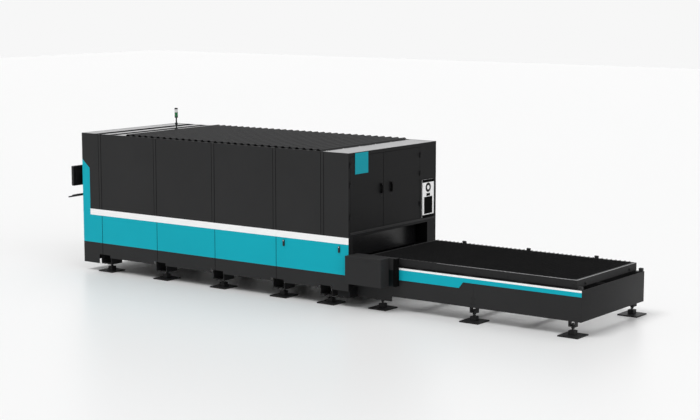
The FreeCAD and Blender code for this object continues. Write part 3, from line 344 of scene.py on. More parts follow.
def make_pieces():
    """Makes a piece of each shape drawn so far, and returns the last one."""
    for name, bm, finish, body, sharp in shapes:
        bmesh.ops.recalc_face_normals(bm, faces=bm.faces)
        bm.transform(Matrix.Scale(MM, 4))
        mesh = bpy.data.meshes.new(name)
        bm.to_mesh(mesh)
        bm.free()
        mesh.materials.append(finishes[finish])
        mesh.shade_smooth()
        mesh.set_sharp_from_angle(angle=math.radians(sharp))
        made = placed(name, mesh)
        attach(made, body)
    shapes.clear()
    return made


def block(bm, corner, opposite, edge=0.0):
    """A block between two opposite corners, with its edges broken."""
    corner = Vector(corner)
    opposite = Vector(opposite)
    sizes = [abs(step) for step in opposite - corner]
    matrix = Matrix.Translation((corner + opposite) / 2) @ Matrix.Diagonal((*sizes, 1))
    made = bmesh.ops.create_cube(bm, size=1.0, matrix=matrix)
    if edge > 0:
        edges = list(dict.fromkeys(link for vert in made["verts"] for link in vert.link_edges))
        bmesh.ops.bevel(bm, geom=edges, offset=edge, segments=2, affect="EDGES", profile=0.5)


def skin(bm, rings):
    """Joins each ring of corners to the next with faces."""
    for ring, following in zip(rings, rings[1:]):
        for corner in range(len(ring)):
            after = (corner + 1) % len(ring)
            bm.faces.new((ring[corner], ring[after], following[after], following[corner]))


def around(count, start=0.0):
    """The cosine and sine of evenly spaced angles around a circle."""
    angles = [FULL_TURN * (step + start) / count for step in range(count)]
    return [(math.cos(angle), math.sin(angle)) for angle in angles]


def turned(bm, centre, axis, profile, sides=24, size=1.0):
    """A turned form. The profile gives (distance along the axis, radius) from end to end."""
    turn = Z.rotation_difference(Vector(axis)).to_matrix()
    rings = []
    for along, radius in profile:
        spots = [Vector((radius * x, radius * y, along)) * size for x, y in around(sides)]
        rings.append([bm.verts.new(Vector(centre) + turn @ spot) for spot in spots])
    skin(bm, rings)
    bm.faces.new(rings[0][::-1])
    bm.faces.new(rings[-1])


def rod(bm, start, end, radius):
    """A thin round rod between two points."""
    run = Vector(end) - Vector(start)
    turned(bm, start, run.normalized(), [(0, radius), (run.length, radius)], 8)


def wire_ring(bm, centre, axis, radius, wire, steps=40, section=8):
    """A round wire bent into a ring."""
    turn = Z.rotation_difference(Vector(axis)).to_matrix()
    rings = []
    for x, y in around(steps):
        outward = Vector((x, y, 0))
        spots = [outward * (radius + wire * out) + Z * wire * up
                 for out, up in around(section)]
        rings.append([bm.verts.new(Vector(centre) + turn @ spot) for spot in spots])
    skin(bm, rings + rings[:1])


def prism(bm, outline, direction):
    """A solid whose flat outline is pushed along a direction."""
    push = Vector(direction)
    front = [bm.verts.new(Vector(point)) for point in outline]
    back = [bm.verts.new(Vector(point) + push) for point in outline]
    bm.faces.new(front)
    bm.faces.new(back[::-1])
    skin(bm, [front, back])


def ring_frame(bm, opening_low, opening_high, width, back, front, edge=0.0):
    """A flat four-sided frame around an opening given as (y, z) corners, from X to X."""
    near, low = opening_low
    far, high = opening_high
    for start, end in (((near - width, low - width), (near, high + width)),
                       ((far, low - width), (far + width, high + width)),
                       ((near, low - width), (far, low)), ((near, high), (far, high + width))):
        block(bm, (back, *start), (front, *end), edge)


def hex_bolt(bm, seat, axis, size):
    """A bolt head on its washer. Size is the width of the head over its corners."""
    turned(bm, seat, axis, WASHER, 18, size)
    turned(bm, seat, axis, HEX_HEAD, 6, size)


def pan_screw(bm, seat, axis, size):
    """A low domed screw head with a socket in its middle."""
    turned(bm, seat, axis, PAN_HEAD, 14, size)


def separate_boxes(name):
    """The lowest and highest corners of a node's separate bodies, from left to right."""
    bm = bmesh.new()
    bm.from_mesh(nodes[name].data)
    bmesh.ops.remove_doubles(bm, verts=bm.verts, dist=0.01 * MM)
    waiting = set(bm.verts)
    boxes = []
    while waiting:
        reached = [waiting.pop()]
        places = []
        while reached:
            vert = reached.pop()
            places.append(vert.co / MM)
            for edge in vert.link_edges:
                other = edge.other_vert(vert)
                if other in waiting:
                    waiting.remove(other)
                    reached.append(other)
        boxes.append([Vector([pick(place[axis] for place in places) for axis in range(3)])
                      for pick in (min, max)])
    bm.free()
    return sorted(boxes, key=lambda corners: tuple(corners[0]))


def spaced(low, high, count, inset=0):
    """Evenly spaced places between low and high, the first and last an inset from them."""
    low, high = low + inset, high - inset
    return [low + (high - low) * place / (count - 1) for place in range(count)]


# ---- side covers ----
LIP_WIDTH = 44
LIP_PROUD = 1.4
LIP_SET_BACK = 3
JOINT_WIDTH = 9
UPPER_JOINT_PROUD = 0.5
LOWER_JOINT_PROUD = 0.4
PLINTH_JOINT_RISE = 110
COVER_SCREW = 11
SCREW_SUNK = 1.9
SCREW_INSET = 90


def seams(prefix, count):
    """The X places of the seams between numbered panels."""
    panels = [box("%s_%d" % (prefix, index)) for index in range(1, count + 1)]
    return [(left[1].x + right[0].x) / 2 for left, right in zip(panels, panels[1:])]


def side_face(side):
    """The Y place of a side's outer face, and the way it faces."""
    if side == "near":
        return box("upper_panel_2")[0].y, -1
    return box("upper_panels_far")[1].y, 1


def joint_line(bm, x, face, outer, low, high):
    """A thin dark strip on a side face that stands for the gap between two covers."""
    block(bm, (x - JOINT_WIDTH / 2, face, low), (x + JOINT_WIDTH / 2, outer, high))


def upper_lips(side):
    """The folded lips beside the seams of the upper covers, with the dark joints."""
    low, high = box("upper_panel_2")
    face, way = side_face(side)
    lips = shape("upper_lips_" + side, "dark_paint")
    joints = shape("upper_joints_" + side, "joint_shadow")
    for x in seams("upper_panel", 6):
        right = x - LIP_SET_BACK
        left = right - LIP_WIDTH
        block(lips, (left, face, low.z + 2), (right, face + way * LIP_PROUD, high.z - 2), 0.5)
        for place in (left - JOINT_WIDTH / 2, x):
            joint_line(joints, place, face, face + way * UPPER_JOINT_PROUD, low.z, high.z)


def lower_joints(side):
    """The narrow dark joints of the teal covers and the plinth."""
    teal_low, teal_high = box("teal_panel_2")
    plinth = box("plinth_near")[0].z + PLINTH_JOINT_RISE
    face, way = side_face(side)
    outer = face + way * LOWER_JOINT_PROUD
    joints = shape("lower_joints_" + side, "joint_shadow")
    for x in seams("teal_panel", 5):
        joint_line(joints, x, face, outer, teal_low.z, teal_high.z)
        joint_line(joints, x, face, outer, plinth, teal_low.z)


def cover_screws(side):
    """Small domed screws, half sunk, along the top and foot of each cover."""
    face, way = side_face(side)
    heights = (box("upper_panel_2")[1].z - 24, box("teal_panel_2")[0].z - 26)
    edges = [box("upper_panel_1")[0].x, *seams("teal_panel", 5), box("upper_panel_6")[1].x]
    screws = shape("cover_screws_" + side, "black_metal")
    for left, right in zip(edges, edges[1:]):
        for x in spaced(left, right, 3, SCREW_INSET):
            for z in heights:
                pan_screw(screws, (x, face - way * SCREW_SUNK, z), Y * way, COVER_SCREW)


# ---- roof ----
FOLDS = 30
CLOTH = 1.6
FOLD_STEPS = 12
CREST_POWER = 0.8
RAIL_DEPTH = 24
TRACK_HALF = 7
CAP_THICK = 1.2
TRIM_PROUD = 1.4
ROOF_SCREW = 12


def fold_line(left, right, low, top):
    """The line of a folded cover, with full crests and narrow valleys, as (x, z) points."""
    pitch = (right - left) / FOLDS
    points = []
    for step in range(FOLDS * FOLD_STEPS + 1):
        part = step / FOLD_STEPS
        rise = abs(math.sin(math.pi * part)) ** CREST_POWER
        points.append((left + pitch * part, low + (top - low - CLOTH) * rise))
    return points


def roof_folds():
    """The folded cloth cover of the roof opening."""
    low, high = box("roof_bellows")
    line = fold_line(low.x, high.x, low.z, high.z)
    outline = line + [(x, z + CLOTH) for x, z in line[::-1]]
    cloth = shape("roof_folds", "bellows_cloth", sharp=60)
    rows = [[cloth.verts.new((x, y, z)) for x, z in outline] for y in spaced(low.y, high.y, 9)]
    skin(cloth, rows)
    for row in (rows[0], rows[-1]):
        ends = list(zip(row, row[::-1]))[:len(line)]
        for here, there in zip(ends, ends[1:]):
            cloth.faces.new((here[0], there[0], there[1], here[1]))
    folds = make_pieces()
    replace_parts(folds, "roof_bellows")
    low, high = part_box("roof_bellows")
    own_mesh(folds)


def roof_rails():
    """Dark channels with two track ribs in the gaps of the pale roof strips."""
    strips = separate_boxes("roof_strips")
    near, far = strips[0][0].y, strips[0][1].y
    top = strips[0][1].z
    floor = top - RAIL_DEPTH
    rails = shape("roof_rails", "joint_shadow")
    for before, after in zip(strips, strips[1:]):
        left, right = before[1].x, after[0].x
        block(rails, (left + 1, near, floor), (right - 1, far, floor + 6), 2)
        for start in (left, right - 1):
            block(rails, (start, near, floor), (start + 1, far, top))
        for share in (0.3, 0.7):
            x = left + (right - left) * share
            block(rails, (x - TRACK_HALF, near, floor + 5), (x + TRACK_HALF, far, floor + 13), 2)


def roof_rim_caps():
    """Thin pale caps that carry the roof strips and the end plate over the rims."""
    near, far = side_face("near")[0], side_face("far")[0]
    top = box("upper_panel_2")[1].z
    bars = []
    for low, high in separate_boxes("roof_strips") + separate_boxes("roof_end_plate"):
        bars.append((low.x - 2, high.x + 2, near, low.y + 3))
        bars.append((low.x - 2, high.x + 2, high.y - 3, far))
    bars.append((box("upper_panel_1")[0].x, box("roof_strips")[0].x + 3, near, far))
    caps = shape("roof_rim_caps", "pale_paint")
    for left, right, start, end in bars:
        block(caps, (left, start, top), (right, end, top + CAP_THICK), 0.4)


def corner_trims():
    """Thin dark angles over the ends of the side covers, at the exchange end."""
    near_low, near_high = box("teal_panel_5")
    far_low, far_high = box("teal_panels_far")
    low = box("plinth_near")[0].z + 105
    high = box("upper_panel_2")[1].z
    right = box("end_frame")[1].x
    trims = shape("corner_trims", "end_face_shade_paint")
    for inner, outer in ((near_high.y, near_low.y - TRIM_PROUD),
                         (far_low.y, far_high.y + TRIM_PROUD)):
        block(trims, (right, inner, low), (right + 1.5, outer, high))


def roof_details():
    """Screws of the pale roof plates, and the pull bar's bolts."""
    screws = shape("roof_screws", "zinc_plate")
    for name, inset in (("roof_end_plate", 30), ("roof_strips", 24)):
        low, high = box(name)
        for x in (low.x + inset, high.x - inset):
            for y in spaced(low.y, high.y, 7, 60):
                pan_screw(screws, (x, y, high.z), Z, ROOF_SCREW)
    low, high = box("roof_cover_bar")
    bolts = shape("pull_bar_bolts", "zinc_plate", "roof_cover")
    for y in spaced(low.y, high.y, 6, 80):
        hex_bolt(bolts, ((low.x + high.x) / 2, y, high.z - 22), Z, ROOF_SCREW)


# ---- cabinet cooler ----
CAP_HEIGHT = 42
CAP_STEP = 3
FAN_RISE = 451
FAN_DEPTH = 10
FAN_DUCT = ((0, 70.5), (0.6, 70.5))
FAN_BOSS = ((0, 33), (1.2, 33), (2, 31.5))
BLADES = 7
BLADE_CORNERS = ((25, -0.22), (68, -0.10), (68, 0.42), (25, 0.28))
GUARD_RADII = (33, 42, 51, 60, 69)
GUARD_WIRE = 1.3
DISPLAY_RISE = 322
DISPLAY_HALF = 48
DISPLAY_HEIGHT = 42
LOUVRE_LOW = 64
LOUVRE_TOP = 303
LOUVRE_HALF = 100
LOUVRE_RIM = 9
LOUVRE_FINS = 14


def cooler_fan(centre):
    """The fan in its duct, behind a wire guard with a round boss."""
    duct = shape("cooler_fan_duct", "rubber")
    turned(duct, centre, X, FAN_DUCT, 48)
    blades = shape("cooler_fan_blades", "rubber")
    for blade in range(BLADES):
        outline = []
        for radius, lean in BLADE_CORNERS:
            angle = FULL_TURN * blade / BLADES + lean
            outline.append(centre + Vector((2, radius * math.cos(angle), radius * math.sin(angle))))
        prism(blades, outline, X * 1.5)
    guard = shape("cooler_fan_guard", "black_metal")
    face = centre + X * (FAN_DEPTH - 1.5)
    for radius in GUARD_RADII:
        wire_ring(guard, face, X, radius, GUARD_WIRE)
    for y, z in around(8, 0.5):
        way = Vector((0, y, z))
        rod(guard, face + way * 26, face + way * 70, GUARD_WIRE)
    boss = shape("cooler_fan_boss", "white_paint")
    turned(boss, centre + X * 9.4, X, FAN_BOSS, 32)


def cooler_louvre(front, middle, base):
    """The louvre's rim and its sloping fins."""
    near, far = middle - LOUVRE_HALF, middle + LOUVRE_HALF
    left, right = near - LOUVRE_RIM, far + LOUVRE_RIM
    low, top = base + LOUVRE_LOW, base + LOUVRE_TOP
    rim = shape("cooler_louvre_rim", "joint_shadow")
    for start, end in (((left, low - LOUVRE_RIM), (right, low)),
                       ((left, top), (right, top + LOUVRE_RIM)),
                       ((left, low), (near, top)), ((far, low), (right, top))):
        block(rim, (front, *start), (front + 2.5, *end), 0.6)
    fins = shape("cooler_louvre_fins", "joint_shadow")
    pitch = (top - low) / LOUVRE_FINS
    for fin in range(LOUVRE_FINS):
        z = low + pitch * fin
        prism(fins, [(front - 8, near, z + pitch * 0.85), (front + 1.6, near, z + 1.2),
                     (front + 2, near, z + 2.6), (front - 8, near, z + pitch)],
              (0, far - near, 0))
    block(fins, (front + 0.1, near, low), (front + 0.6, far, top))


def cabinet_cooler():
    """The cooler's dark caps, fan, blank display, louvre and screws."""
    low, high = box("cooling_unit")
    front = high.x
    middle = (low.y + high.y) / 2
    caps = shape("cooler_caps", "joint_shadow")
    for base in (low.z, high.z - CAP_HEIGHT):
        block(caps, (front - CAP_STEP + 0.1, low.y - 2, base),
              (front + 2, high.y + 2, base + CAP_HEIGHT), 1.2)
    cooler_fan(Vector((front - FAN_DEPTH + 0.4, middle, low.z + FAN_RISE)))
    display = shape("cooler_display", "joint_shadow")
    base = low.z + DISPLAY_RISE
    block(display, (front - 1.9, middle - DISPLAY_HALF, base),
          (front + 1.5, middle + DISPLAY_HALF, base + DISPLAY_HEIGHT), 0.8)
    cooler_louvre(front, middle, low.z)
    screws = shape("cooler_screws", "zinc_plate")
    for y in (low.y + 14, high.y - 14):
        for z in spaced(low.z, high.z, 3, CAP_HEIGHT + 16):
            pan_screw(screws, (front, y, z), X, 10)


# ---- exchange end ----
HINGE_RADIUS = 7
HINGE_HEIGHT = 76
HINGE_PIN = ((0, 5), (1.5, 5), (3, 3))
LEDGE_PROFILE = ((0, -34), (7, -30), (7, -5), (0, 0))
JAMB_SHADE_THICK = 3
DOOR_EDGE = 3
BADGE_SIDE_INSET = 10
STIFFENER_HEIGHT = 16
HANDLE_PIVOT = ((0, 9), (1.2, 9), (1.8, 8), (1.8, 5), (0.6, 4.6))
DOOR_LOCK = ((0, 13), (2, 13), (3, 12), (3, 6), (1.5, 5.6))
LATCH_PIVOT = ((0, 9), (1.5, 9), (2.4, 7.5), (2.4, 4), (1.2, 3.6))


def end_face_details():
    """The ledge under the doors, and black linings on the port's jambs and head that paint the
    shade inside the port.
    """
    low, high = box("end_frame")
    face = high.x
    top = box("door_left")[0].z - 4
    ledge = shape("door_ledge", "dark_paint")
    prism(ledge, [(face + out, low.y + 2, top + rise) for out, rise in LEDGE_PROFILE],
          (0, high.y - low.y - 4, 0))
    gate_low, gate_high = box("gate")
    jamb_shade = shape("port_jamb_shade", "joint_shadow")
    port_top = top - 70
    near, far = gate_low.y + 30, gate_high.y - 30
    depth = gate_high.x + 12
    base = box("base_frame")[1].z + 5
    # Black linings on the jamb faces and the head: painted shade inside the port.
    for y, inner in ((near, near + JAMB_SHADE_THICK), (far, far - JAMB_SHADE_THICK)):
        block(jamb_shade, (depth, y, base), (face - 4, inner, port_top), 0.8)
    block(jamb_shade, (depth, near + JAMB_SHADE_THICK, port_top - JAMB_SHADE_THICK),
          (face - 4, far - JAMB_SHADE_THICK, port_top), 0.8)


def hinge_pins():
    """The domed heads of the door hinges' pins."""
    low, high = box("door_hinges")
    pins = shape("hinge_pins", "black_metal")
    for y in (low.y + HINGE_RADIUS, high.y - HINGE_RADIUS):
        for bottom, _ in separate_boxes("door_hinges"):
            if abs(bottom.y - y) < 40:
                pin = (high.x - HINGE_RADIUS, y, bottom.z + HINGE_HEIGHT)
                turned(pins, pin, Z, HINGE_PIN, 14)


def door_details(side):
    """The lock, edge seal and inner stiffeners of a cabinet door."""
    body = "door_" + side
    handle = "handle_" + side
    front = box("end_frame")[1].x
    low, high = box(body)
    near = low.y + (BADGE_SIDE_INSET if side == "left" else 0)
    far = high.y - (BADGE_SIDE_INSET if side == "right" else 0)
    handle_low, handle_high = box(handle)
    middle = (handle_low.y + handle_high.y) / 2
    pivot = shape("handle_pivot_" + side, "black_metal", handle)
    turned(pivot, (handle_high.x, middle, handle_high.z - 15), X, HANDLE_PIVOT)
    lock = shape("door_lock_" + side, "black_metal", body)
    turned(lock, (front + 0.2, middle, handle_low.z - 46), X, DOOR_LOCK, 28)
    edge = shape("door_edge_" + side, "joint_shadow", body)
    ring_frame(edge, (near + DOOR_EDGE, low.z + DOOR_EDGE), (far - DOOR_EDGE, high.z - DOOR_EDGE),
               DOOR_EDGE, front - 0.2, front + 0.6)
    stiff = shape("door_stiffeners_" + side, "zinc_plate", body)
    for z in (low.z + 30, high.z - 30 - STIFFENER_HEIGHT):
        block(stiff, (front - 21, near + 40, z), (front - 3, far - 40, z + STIFFENER_HEIGHT), 1.5)


def gate_details():
    """Screws on the lifting gate and the rubber lip along its foot."""
    low, high = box("gate")
    screws = shape("gate_screws", "black_metal", "gate")
    for z in spaced(low.z, high.z, 3, 15):
        for y in spaced(low.y, high.y, 9, 60):
            pan_screw(screws, (high.x, y, z), X, 12)
    lip = shape("gate_lip", "rubber", "gate")
    near = low.y + 34
    prism(lip, [(low.x + 6, near, low.z + 0.5), (high.x - 6, near, low.z + 0.5),
                (high.x - 10, near, low.z - 5), (low.x + 10, near, low.z - 5)],
          (0, high.y - low.y - 68, 0))


def latch_details():
    """The pivot screws of the two quarter-turn latches."""
    for name in ("latch_1", "latch_2"):
        low, high = box(name)
        screw = shape(name + "_pivot", "zinc_plate", name)
        turned(screw, ((low.x + high.x) / 2, low.y, high.z - 14), -Y, LATCH_PIVOT)


# ---- exchange tables ----
SLATS = 46
SLAT_THICK = 4
TEETH = 48
TOOTH_DEPTH = 15
TABLE_RAIL = 50
SHEET_STOP_RISE = 35
TOOTH_GULLET = ((0.90, 0.0), (0.78, 0.60), (0.62, 0.95), (0.38, 0.95), (0.22, 0.60), (0.10, 0.0))
# The near strip starts this far in from the frame's left end, where the painted highlight begins.
HIGHLIGHT_START = 1140
HIGHLIGHT_WIDTH = 9
CLAMP_GAP = 2.3
CLAMP_SIZE = (5, 12, 7)
BUMPER = ((0, 22), (4, 22), (5, 18), (16, 16), (20, 10))


def slat_line(rails, inside, low, notch, tip):
    """The outline of one saw-tooth slat, whose ends rest on the rails, as (y, z) points."""
    near, far = rails
    pitch = (far - near) / TEETH
    points = [(inside[0], low), (inside[1], low), (inside[1], notch), (far, notch)]
    for tooth in range(TEETH - 1, -1, -1):
        start = near + pitch * tooth
        for part, fall in TOOTH_GULLET:
            points.append((start + pitch * part, tip - TOOTH_DEPTH * fall))
    return points + [(near, notch), (inside[0], notch)]


def slat_places(level):
    """The X places of a table's slats."""
    low, high = box(level + "_table_frame")
    left = low.x + TABLE_RAIL
    pitch = (high.x - TABLE_RAIL - left) / SLATS
    return [left + pitch * (place + 0.5) for place in range(SLATS)]


def table_slats(level):
    """The saw-tooth slats of one exchange table."""
    frame_low, frame_high = box(level + "_table_frame")
    low, high = box(level + "_table_slats")
    notch = frame_high.z - SHEET_STOP_RISE + 0.3
    rails = (frame_low.y + 8, frame_high.y - TABLE_RAIL / 2 - 2)
    outline = slat_line(rails, (low.y, high.y), low.z, notch, high.z)
    rows = shape(level + "_saw_slats", "raw_steel", level + "_table")
    for x in slat_places(level):
        prism(rows, [(x - SLAT_THICK / 2, y, z) for y, z in outline], X * SLAT_THICK)
    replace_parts(make_pieces(), level + "_table_slats")


def table_details(level):
    """Bright steel strips that paint the highlight along the frame's top edges, slat clamps and
    bolts of one exchange table.
    """
    body = level + "_table"
    low, high = box(level + "_table_frame")
    top = high.z - SHEET_STOP_RISE
    strips = shape(level + "_edge_highlight_strips", "highlight_steel", body)
    for start, end in (((low.x + HIGHLIGHT_START, low.y), (high.x, low.y + HIGHLIGHT_WIDTH)),
                       ((high.x - HIGHLIGHT_WIDTH, low.y), (high.x, high.y))):
        block(strips, (*start, top - 5), (*end, top + 1.5), 1.5)
    combs = shape(level + "_slat_clamps", "raw_steel", body)
    wide, deep, rise = CLAMP_SIZE
    for x in slat_places(level):
        for y in (low.y + 26, high.y - 44):
            for way in (-1, 1):
                side = x + way * CLAMP_GAP
                block(combs, (side, y, top), (side + way * wide, y + deep, top + rise), 0.8)
    bolts = shape(level + "_frame_bolts", "black_metal", body)
    for x in spaced(low.x, high.x, 14, 60):
        hex_bolt(bolts, (x, low.y, top - 60), -Y, 14)
        hex_bolt(bolts, (x, high.y, top - 60), Y, 14)


def table_bumpers():
    """Rubber bumpers on the outer ends of the tables."""
    for level in ("upper", "lower"):
        low, high = box(level + "_table_frame")
        pads = shape(level + "_end_bumpers", "rubber", level + "_table")
        for y in (low.y + 220, high.y - 220):
            turned(pads, (high.x, y, high.z - 100), X, BUMPER)


# ---- switchgear ----
# Units on the mounting plate, as start, width, rise, height and depth.
DRIVE = (70, 92, 92, 220, 118)
DRIVES = 8
DRIVE_PITCH = 118
BREAKER = (60, 54, 700, 90, 72)
BREAKERS = 12
BREAKER_PITCH = 62
OTHER_UNITS = ((90, 240, 420, 170, 84), (390, 300, 430, 140, 84), (1196, 310, 420, 180, 96),
               (1296, 240, 92, 198, 110), (1026, 480, 700, 140, 90))
DUCT_RISES = (30, 330, 640, 910)
DUCT_START = 40
DUCT_HEIGHT = 40
DUCT_DEPTH = 60
SHELL_FRONT = 1.0
SHELL_SIDE = 0.8
WIRE = 2.4


def unit_shell(bm, corner, sizes, shift=0.0):
    """A housing around one unit of the plate."""
    start, width, rise, height, depth = sizes
    low = corner + Vector((0, start - SHELL_SIDE + shift, rise - SHELL_SIDE))
    high = corner + Vector((depth + SHELL_FRONT, start + width + SHELL_SIDE + shift,
                            rise + height + SHELL_SIDE))
    block(bm, low, high, 2)


def unit_row(bm, corner, sizes, count, pitch):
    """A row of housings, and the near lower front corner of each."""
    for place in range(count):
        unit_shell(bm, corner, sizes, pitch * place)
    start, _, rise, _, depth = sizes
    return [corner + Vector((depth + SHELL_FRONT, start + pitch * place, rise))
            for place in range(count)]


def plate(bm, corner, low, high, edge=0.0):
    """A block whose two corners are measured from another corner."""
    block(bm, corner + Vector(low), corner + Vector(high), edge)


def drive_units(corner):
    """The servo drives, with their displays, vents and terminals."""
    shells = shape("drive_housings", "grey_plastic")
    screens = shape("drive_screens", "dark_glass")
    vents = shape("drive_vents", "joint_shadow")
    terminals = shape("drive_terminals", "key_plastic")
    for spot in unit_row(shells, corner, DRIVE, DRIVES, DRIVE_PITCH):
        plate(screens, spot, (0, 22, 150), (1.2, 70, 176), 0.5)
        for slot in range(6):
            rise = 62 + 11 * slot
            plate(vents, spot, (-0.2, 16, rise), (0.5, 76, rise + 4))
        plate(terminals, spot, (0, 8, 8), (9, 84, 40), 1.5)


def breaker_units(corner):
    """The row of breakers with their levers, and the plain units of the plate."""
    shells = shape("breaker_housings", "pale_plastic")
    levers = shape("breaker_levers", "black_plastic")
    others = shape("supply_housings", "key_plastic")
    for spot in unit_row(shells, corner, BREAKER, BREAKERS, BREAKER_PITCH):
        plate(levers, spot, (0, 17, 38), (9, 37, 56), 1.5)
        for rise in (10, 80):
            pan_screw(levers, spot + Vector((0, 27, rise)), X, 8)
    for sizes in OTHER_UNITS:
        unit_shell(others, corner, sizes)


def wiring(corner, width):
    """Slotted ducts, and the short wires between them and the units."""
    ducts = shape("wire_ducts", "pale_plastic")
    slots = shape("duct_slots", "joint_shadow")
    wires = shape("cabinet_wires", "red_plastic")
    for rise in DUCT_RISES:
        unit_shell(ducts, corner,
                   (DUCT_START, width - 2 * DUCT_START, rise, DUCT_HEIGHT, DUCT_DEPTH))
        for along in spaced(0, width, 84, 60):
            spot = corner + Vector((DUCT_DEPTH + SHELL_FRONT, along, rise))
            plate(slots, spot, (-0.2, -3, 6), (0.4, 3, 34))
    tails = [(40, DRIVE[0] + DRIVE_PITCH * place + 26 + 20 * wire, DRIVE[2] + DRIVE[3] - 1, 22)
             for place in range(DRIVES) for wire in range(3)]
    tails += [(30, BREAKER[0] + BREAKER_PITCH * place + 27, BREAKER[2] - 22, 23)
              for place in range(BREAKERS)]
    for out, along, rise, length in tails:
        start = corner + Vector((out, along, rise))
        rod(wires, start, start + Z * length, WIRE)


def switchgear_details():
    """The housings, ducts and wires on the cabinet's mounting plate."""
    low, high = box("switchgear_plate")
    corner = low + X * 4
    drive_units(corner)
    breaker_units(corner)
    wiring(corner, high.y - low.y)


# ---- gantry and cutting head ----
TRAY_HALF = 60
MOTOR = ((0, 38), (4, 40), (120, 40), (124, 37), (128, 37), (130, 40), (160, 40), (165, 34))
MOTOR_HALF = 42
MOTOR_FOOT = 16
NOZZLE = ((0, 4), (3, 9.4), (9, 13.4), (13, 13.4))
FIBRE_CONNECTOR = ((0, 24), (18, 24), (22, 17), (58, 15), (64, 9), (96, 8))
HEAD_GAUGE = ((0, 26), (3, 26), (5, 23), (5, 17), (3, 16))


def gantry_details():
    """Rail screws, a cable tray, and the drive motors on the end carriages."""
    low, high = box("gantry_beam")
    middle = (low.x + high.x) / 2
    screws = shape("gantry_screws", "zinc_plate", "gantry")
    for z in (high.z - 225, high.z - 55):
        for y in spaced(low.y, high.y, 24, 60):
            pan_screw(screws, (middle + 115, y, z), X, 11)
    for y, way in ((low.y, -1), (high.y, 1)):
        for x in (low.x + 40, high.x - 40, low.x + 90, high.x - 90):
            hex_bolt(screws, (x, y, low.z + 22), Y * way, 14)
    tray = shape("gantry_cable_tray", "zinc_plate", "gantry")
    near, far = low.y + 160, high.y - 160
    block(tray, (middle - TRAY_HALF, near, high.z), (middle + TRAY_HALF, far, high.z + 4), 1)
    for x in (middle - TRAY_HALF, middle + TRAY_HALF - 3):
        block(tray, (x, near, high.z + 3), (x + 3, far, high.z + 34), 1)
    motors = shape("gantry_motors", "black_metal", "gantry")
    for y in (low.y + 55, high.y - 55):
        foot = Vector((low.x + 55, y, high.z - 280))
        plate(motors, foot, (-MOTOR_HALF, -MOTOR_HALF, 0), (MOTOR_HALF, MOTOR_HALF, MOTOR_FOOT), 3)
        turned(motors, foot + Z * MOTOR_FOOT, Z, MOTOR)


def head_details():
    """The nozzle's brass tip, collars of the lens housing, the fibre connector and a gauge."""
    low, high = box("cutting_head")
    centre = (high.x - 55, (low.y + high.y) / 2)
    tip = shape("nozzle_tip", "brass_metal", "cutting_head")
    collars = shape("head_collars", "zinc_plate", "cutting_head")
    connector = shape("fibre_connector", "black_plastic", "cutting_head")
    gauge = shape("head_gauge", "black_metal", "cutting_head")
    turned(tip, (*centre, low.z - 2), Z, NOZZLE)
    for z, radius in ((low.z + 104, 37), (high.z - 92, 40), (high.z - 24, 39)):
        turned(collars, (*centre, z), Z,
               [(0, radius - 2), (2, radius), (10, radius), (12, radius - 2)], 32)
    turned(connector, (*centre, high.z), Z, FIBRE_CONNECTOR)
    turned(gauge, (high.x - 0.3, centre[1], high.z - 190), X, HEAD_GAUGE, 32)


# ---- operator's end ----
SEAL_INSET = 10
SEAL_FRAME = 20
STOP_BOX_DEPTH = 48
STOP_BOX_HALF = 38
STOP_BUTTON = ((0, 12), (12, 12), (14, 19), (22, 20), (27, 16), (29, 8))


def operator_end_details():
    """The window's inner seal, and a stop button on its box beside the doorway."""
    low, high = box("operator_door")
    pane_low, pane_high = box("operator_window")
    seal = shape("window_seal", "rubber", "operator_door")
    ring_frame(seal, (pane_low.y + SEAL_INSET, pane_low.z + SEAL_INSET),
               (pane_high.y - SEAL_INSET, pane_high.z - SEAL_INSET), SEAL_FRAME,
               high.x - 0.3, high.x + 2.4, 0.6)
    centre = Vector((box("teal_panel_1")[0].x, high.y + 190, low.z + 760))
    case = shape("stop_button_box", "pale_plastic")
    plate(case, centre, (-STOP_BOX_DEPTH, -STOP_BOX_HALF, -STOP_BOX_HALF),
          (0, STOP_BOX_HALF, STOP_BOX_HALF), 4)
    button = shape("stop_button", "red_plastic")
    turned(button, centre - X * STOP_BOX_DEPTH, -X, STOP_BUTTON, 28)


# ---- exchange base and drive housing ----
SKIRT_JOINT = 1333
WING_JOINT = 607
WING_SET_BACK = 209
WING_EDGE = 40
FOOT_SIZE = 300
THREAD_BASE = 79
THREAD_PITCH = 4.4
THREAD_TURNS = 9
LOCK_NUT = ((0, 24), (9, 24), (11, 21))


def base_bolts(low, high):
    """Screws on the base's end face, and bolts beside the joint of its side sheets."""
    bolts = shape("base_bolts", "black_metal")
    for y in (low.y + 60, high.y - 60):
        for z in (low.z + 110, high.z - 150):
            pan_screw(bolts, (high.x, y, z), X, 9)
    joint = box("base_skirt")[0].x + SKIRT_JOINT
    for x in (joint - 26, joint + 30):
        for rise in (40, 120, 200):
            hex_bolt(bolts, (x, low.y, low.z + rise), -Y, 12)


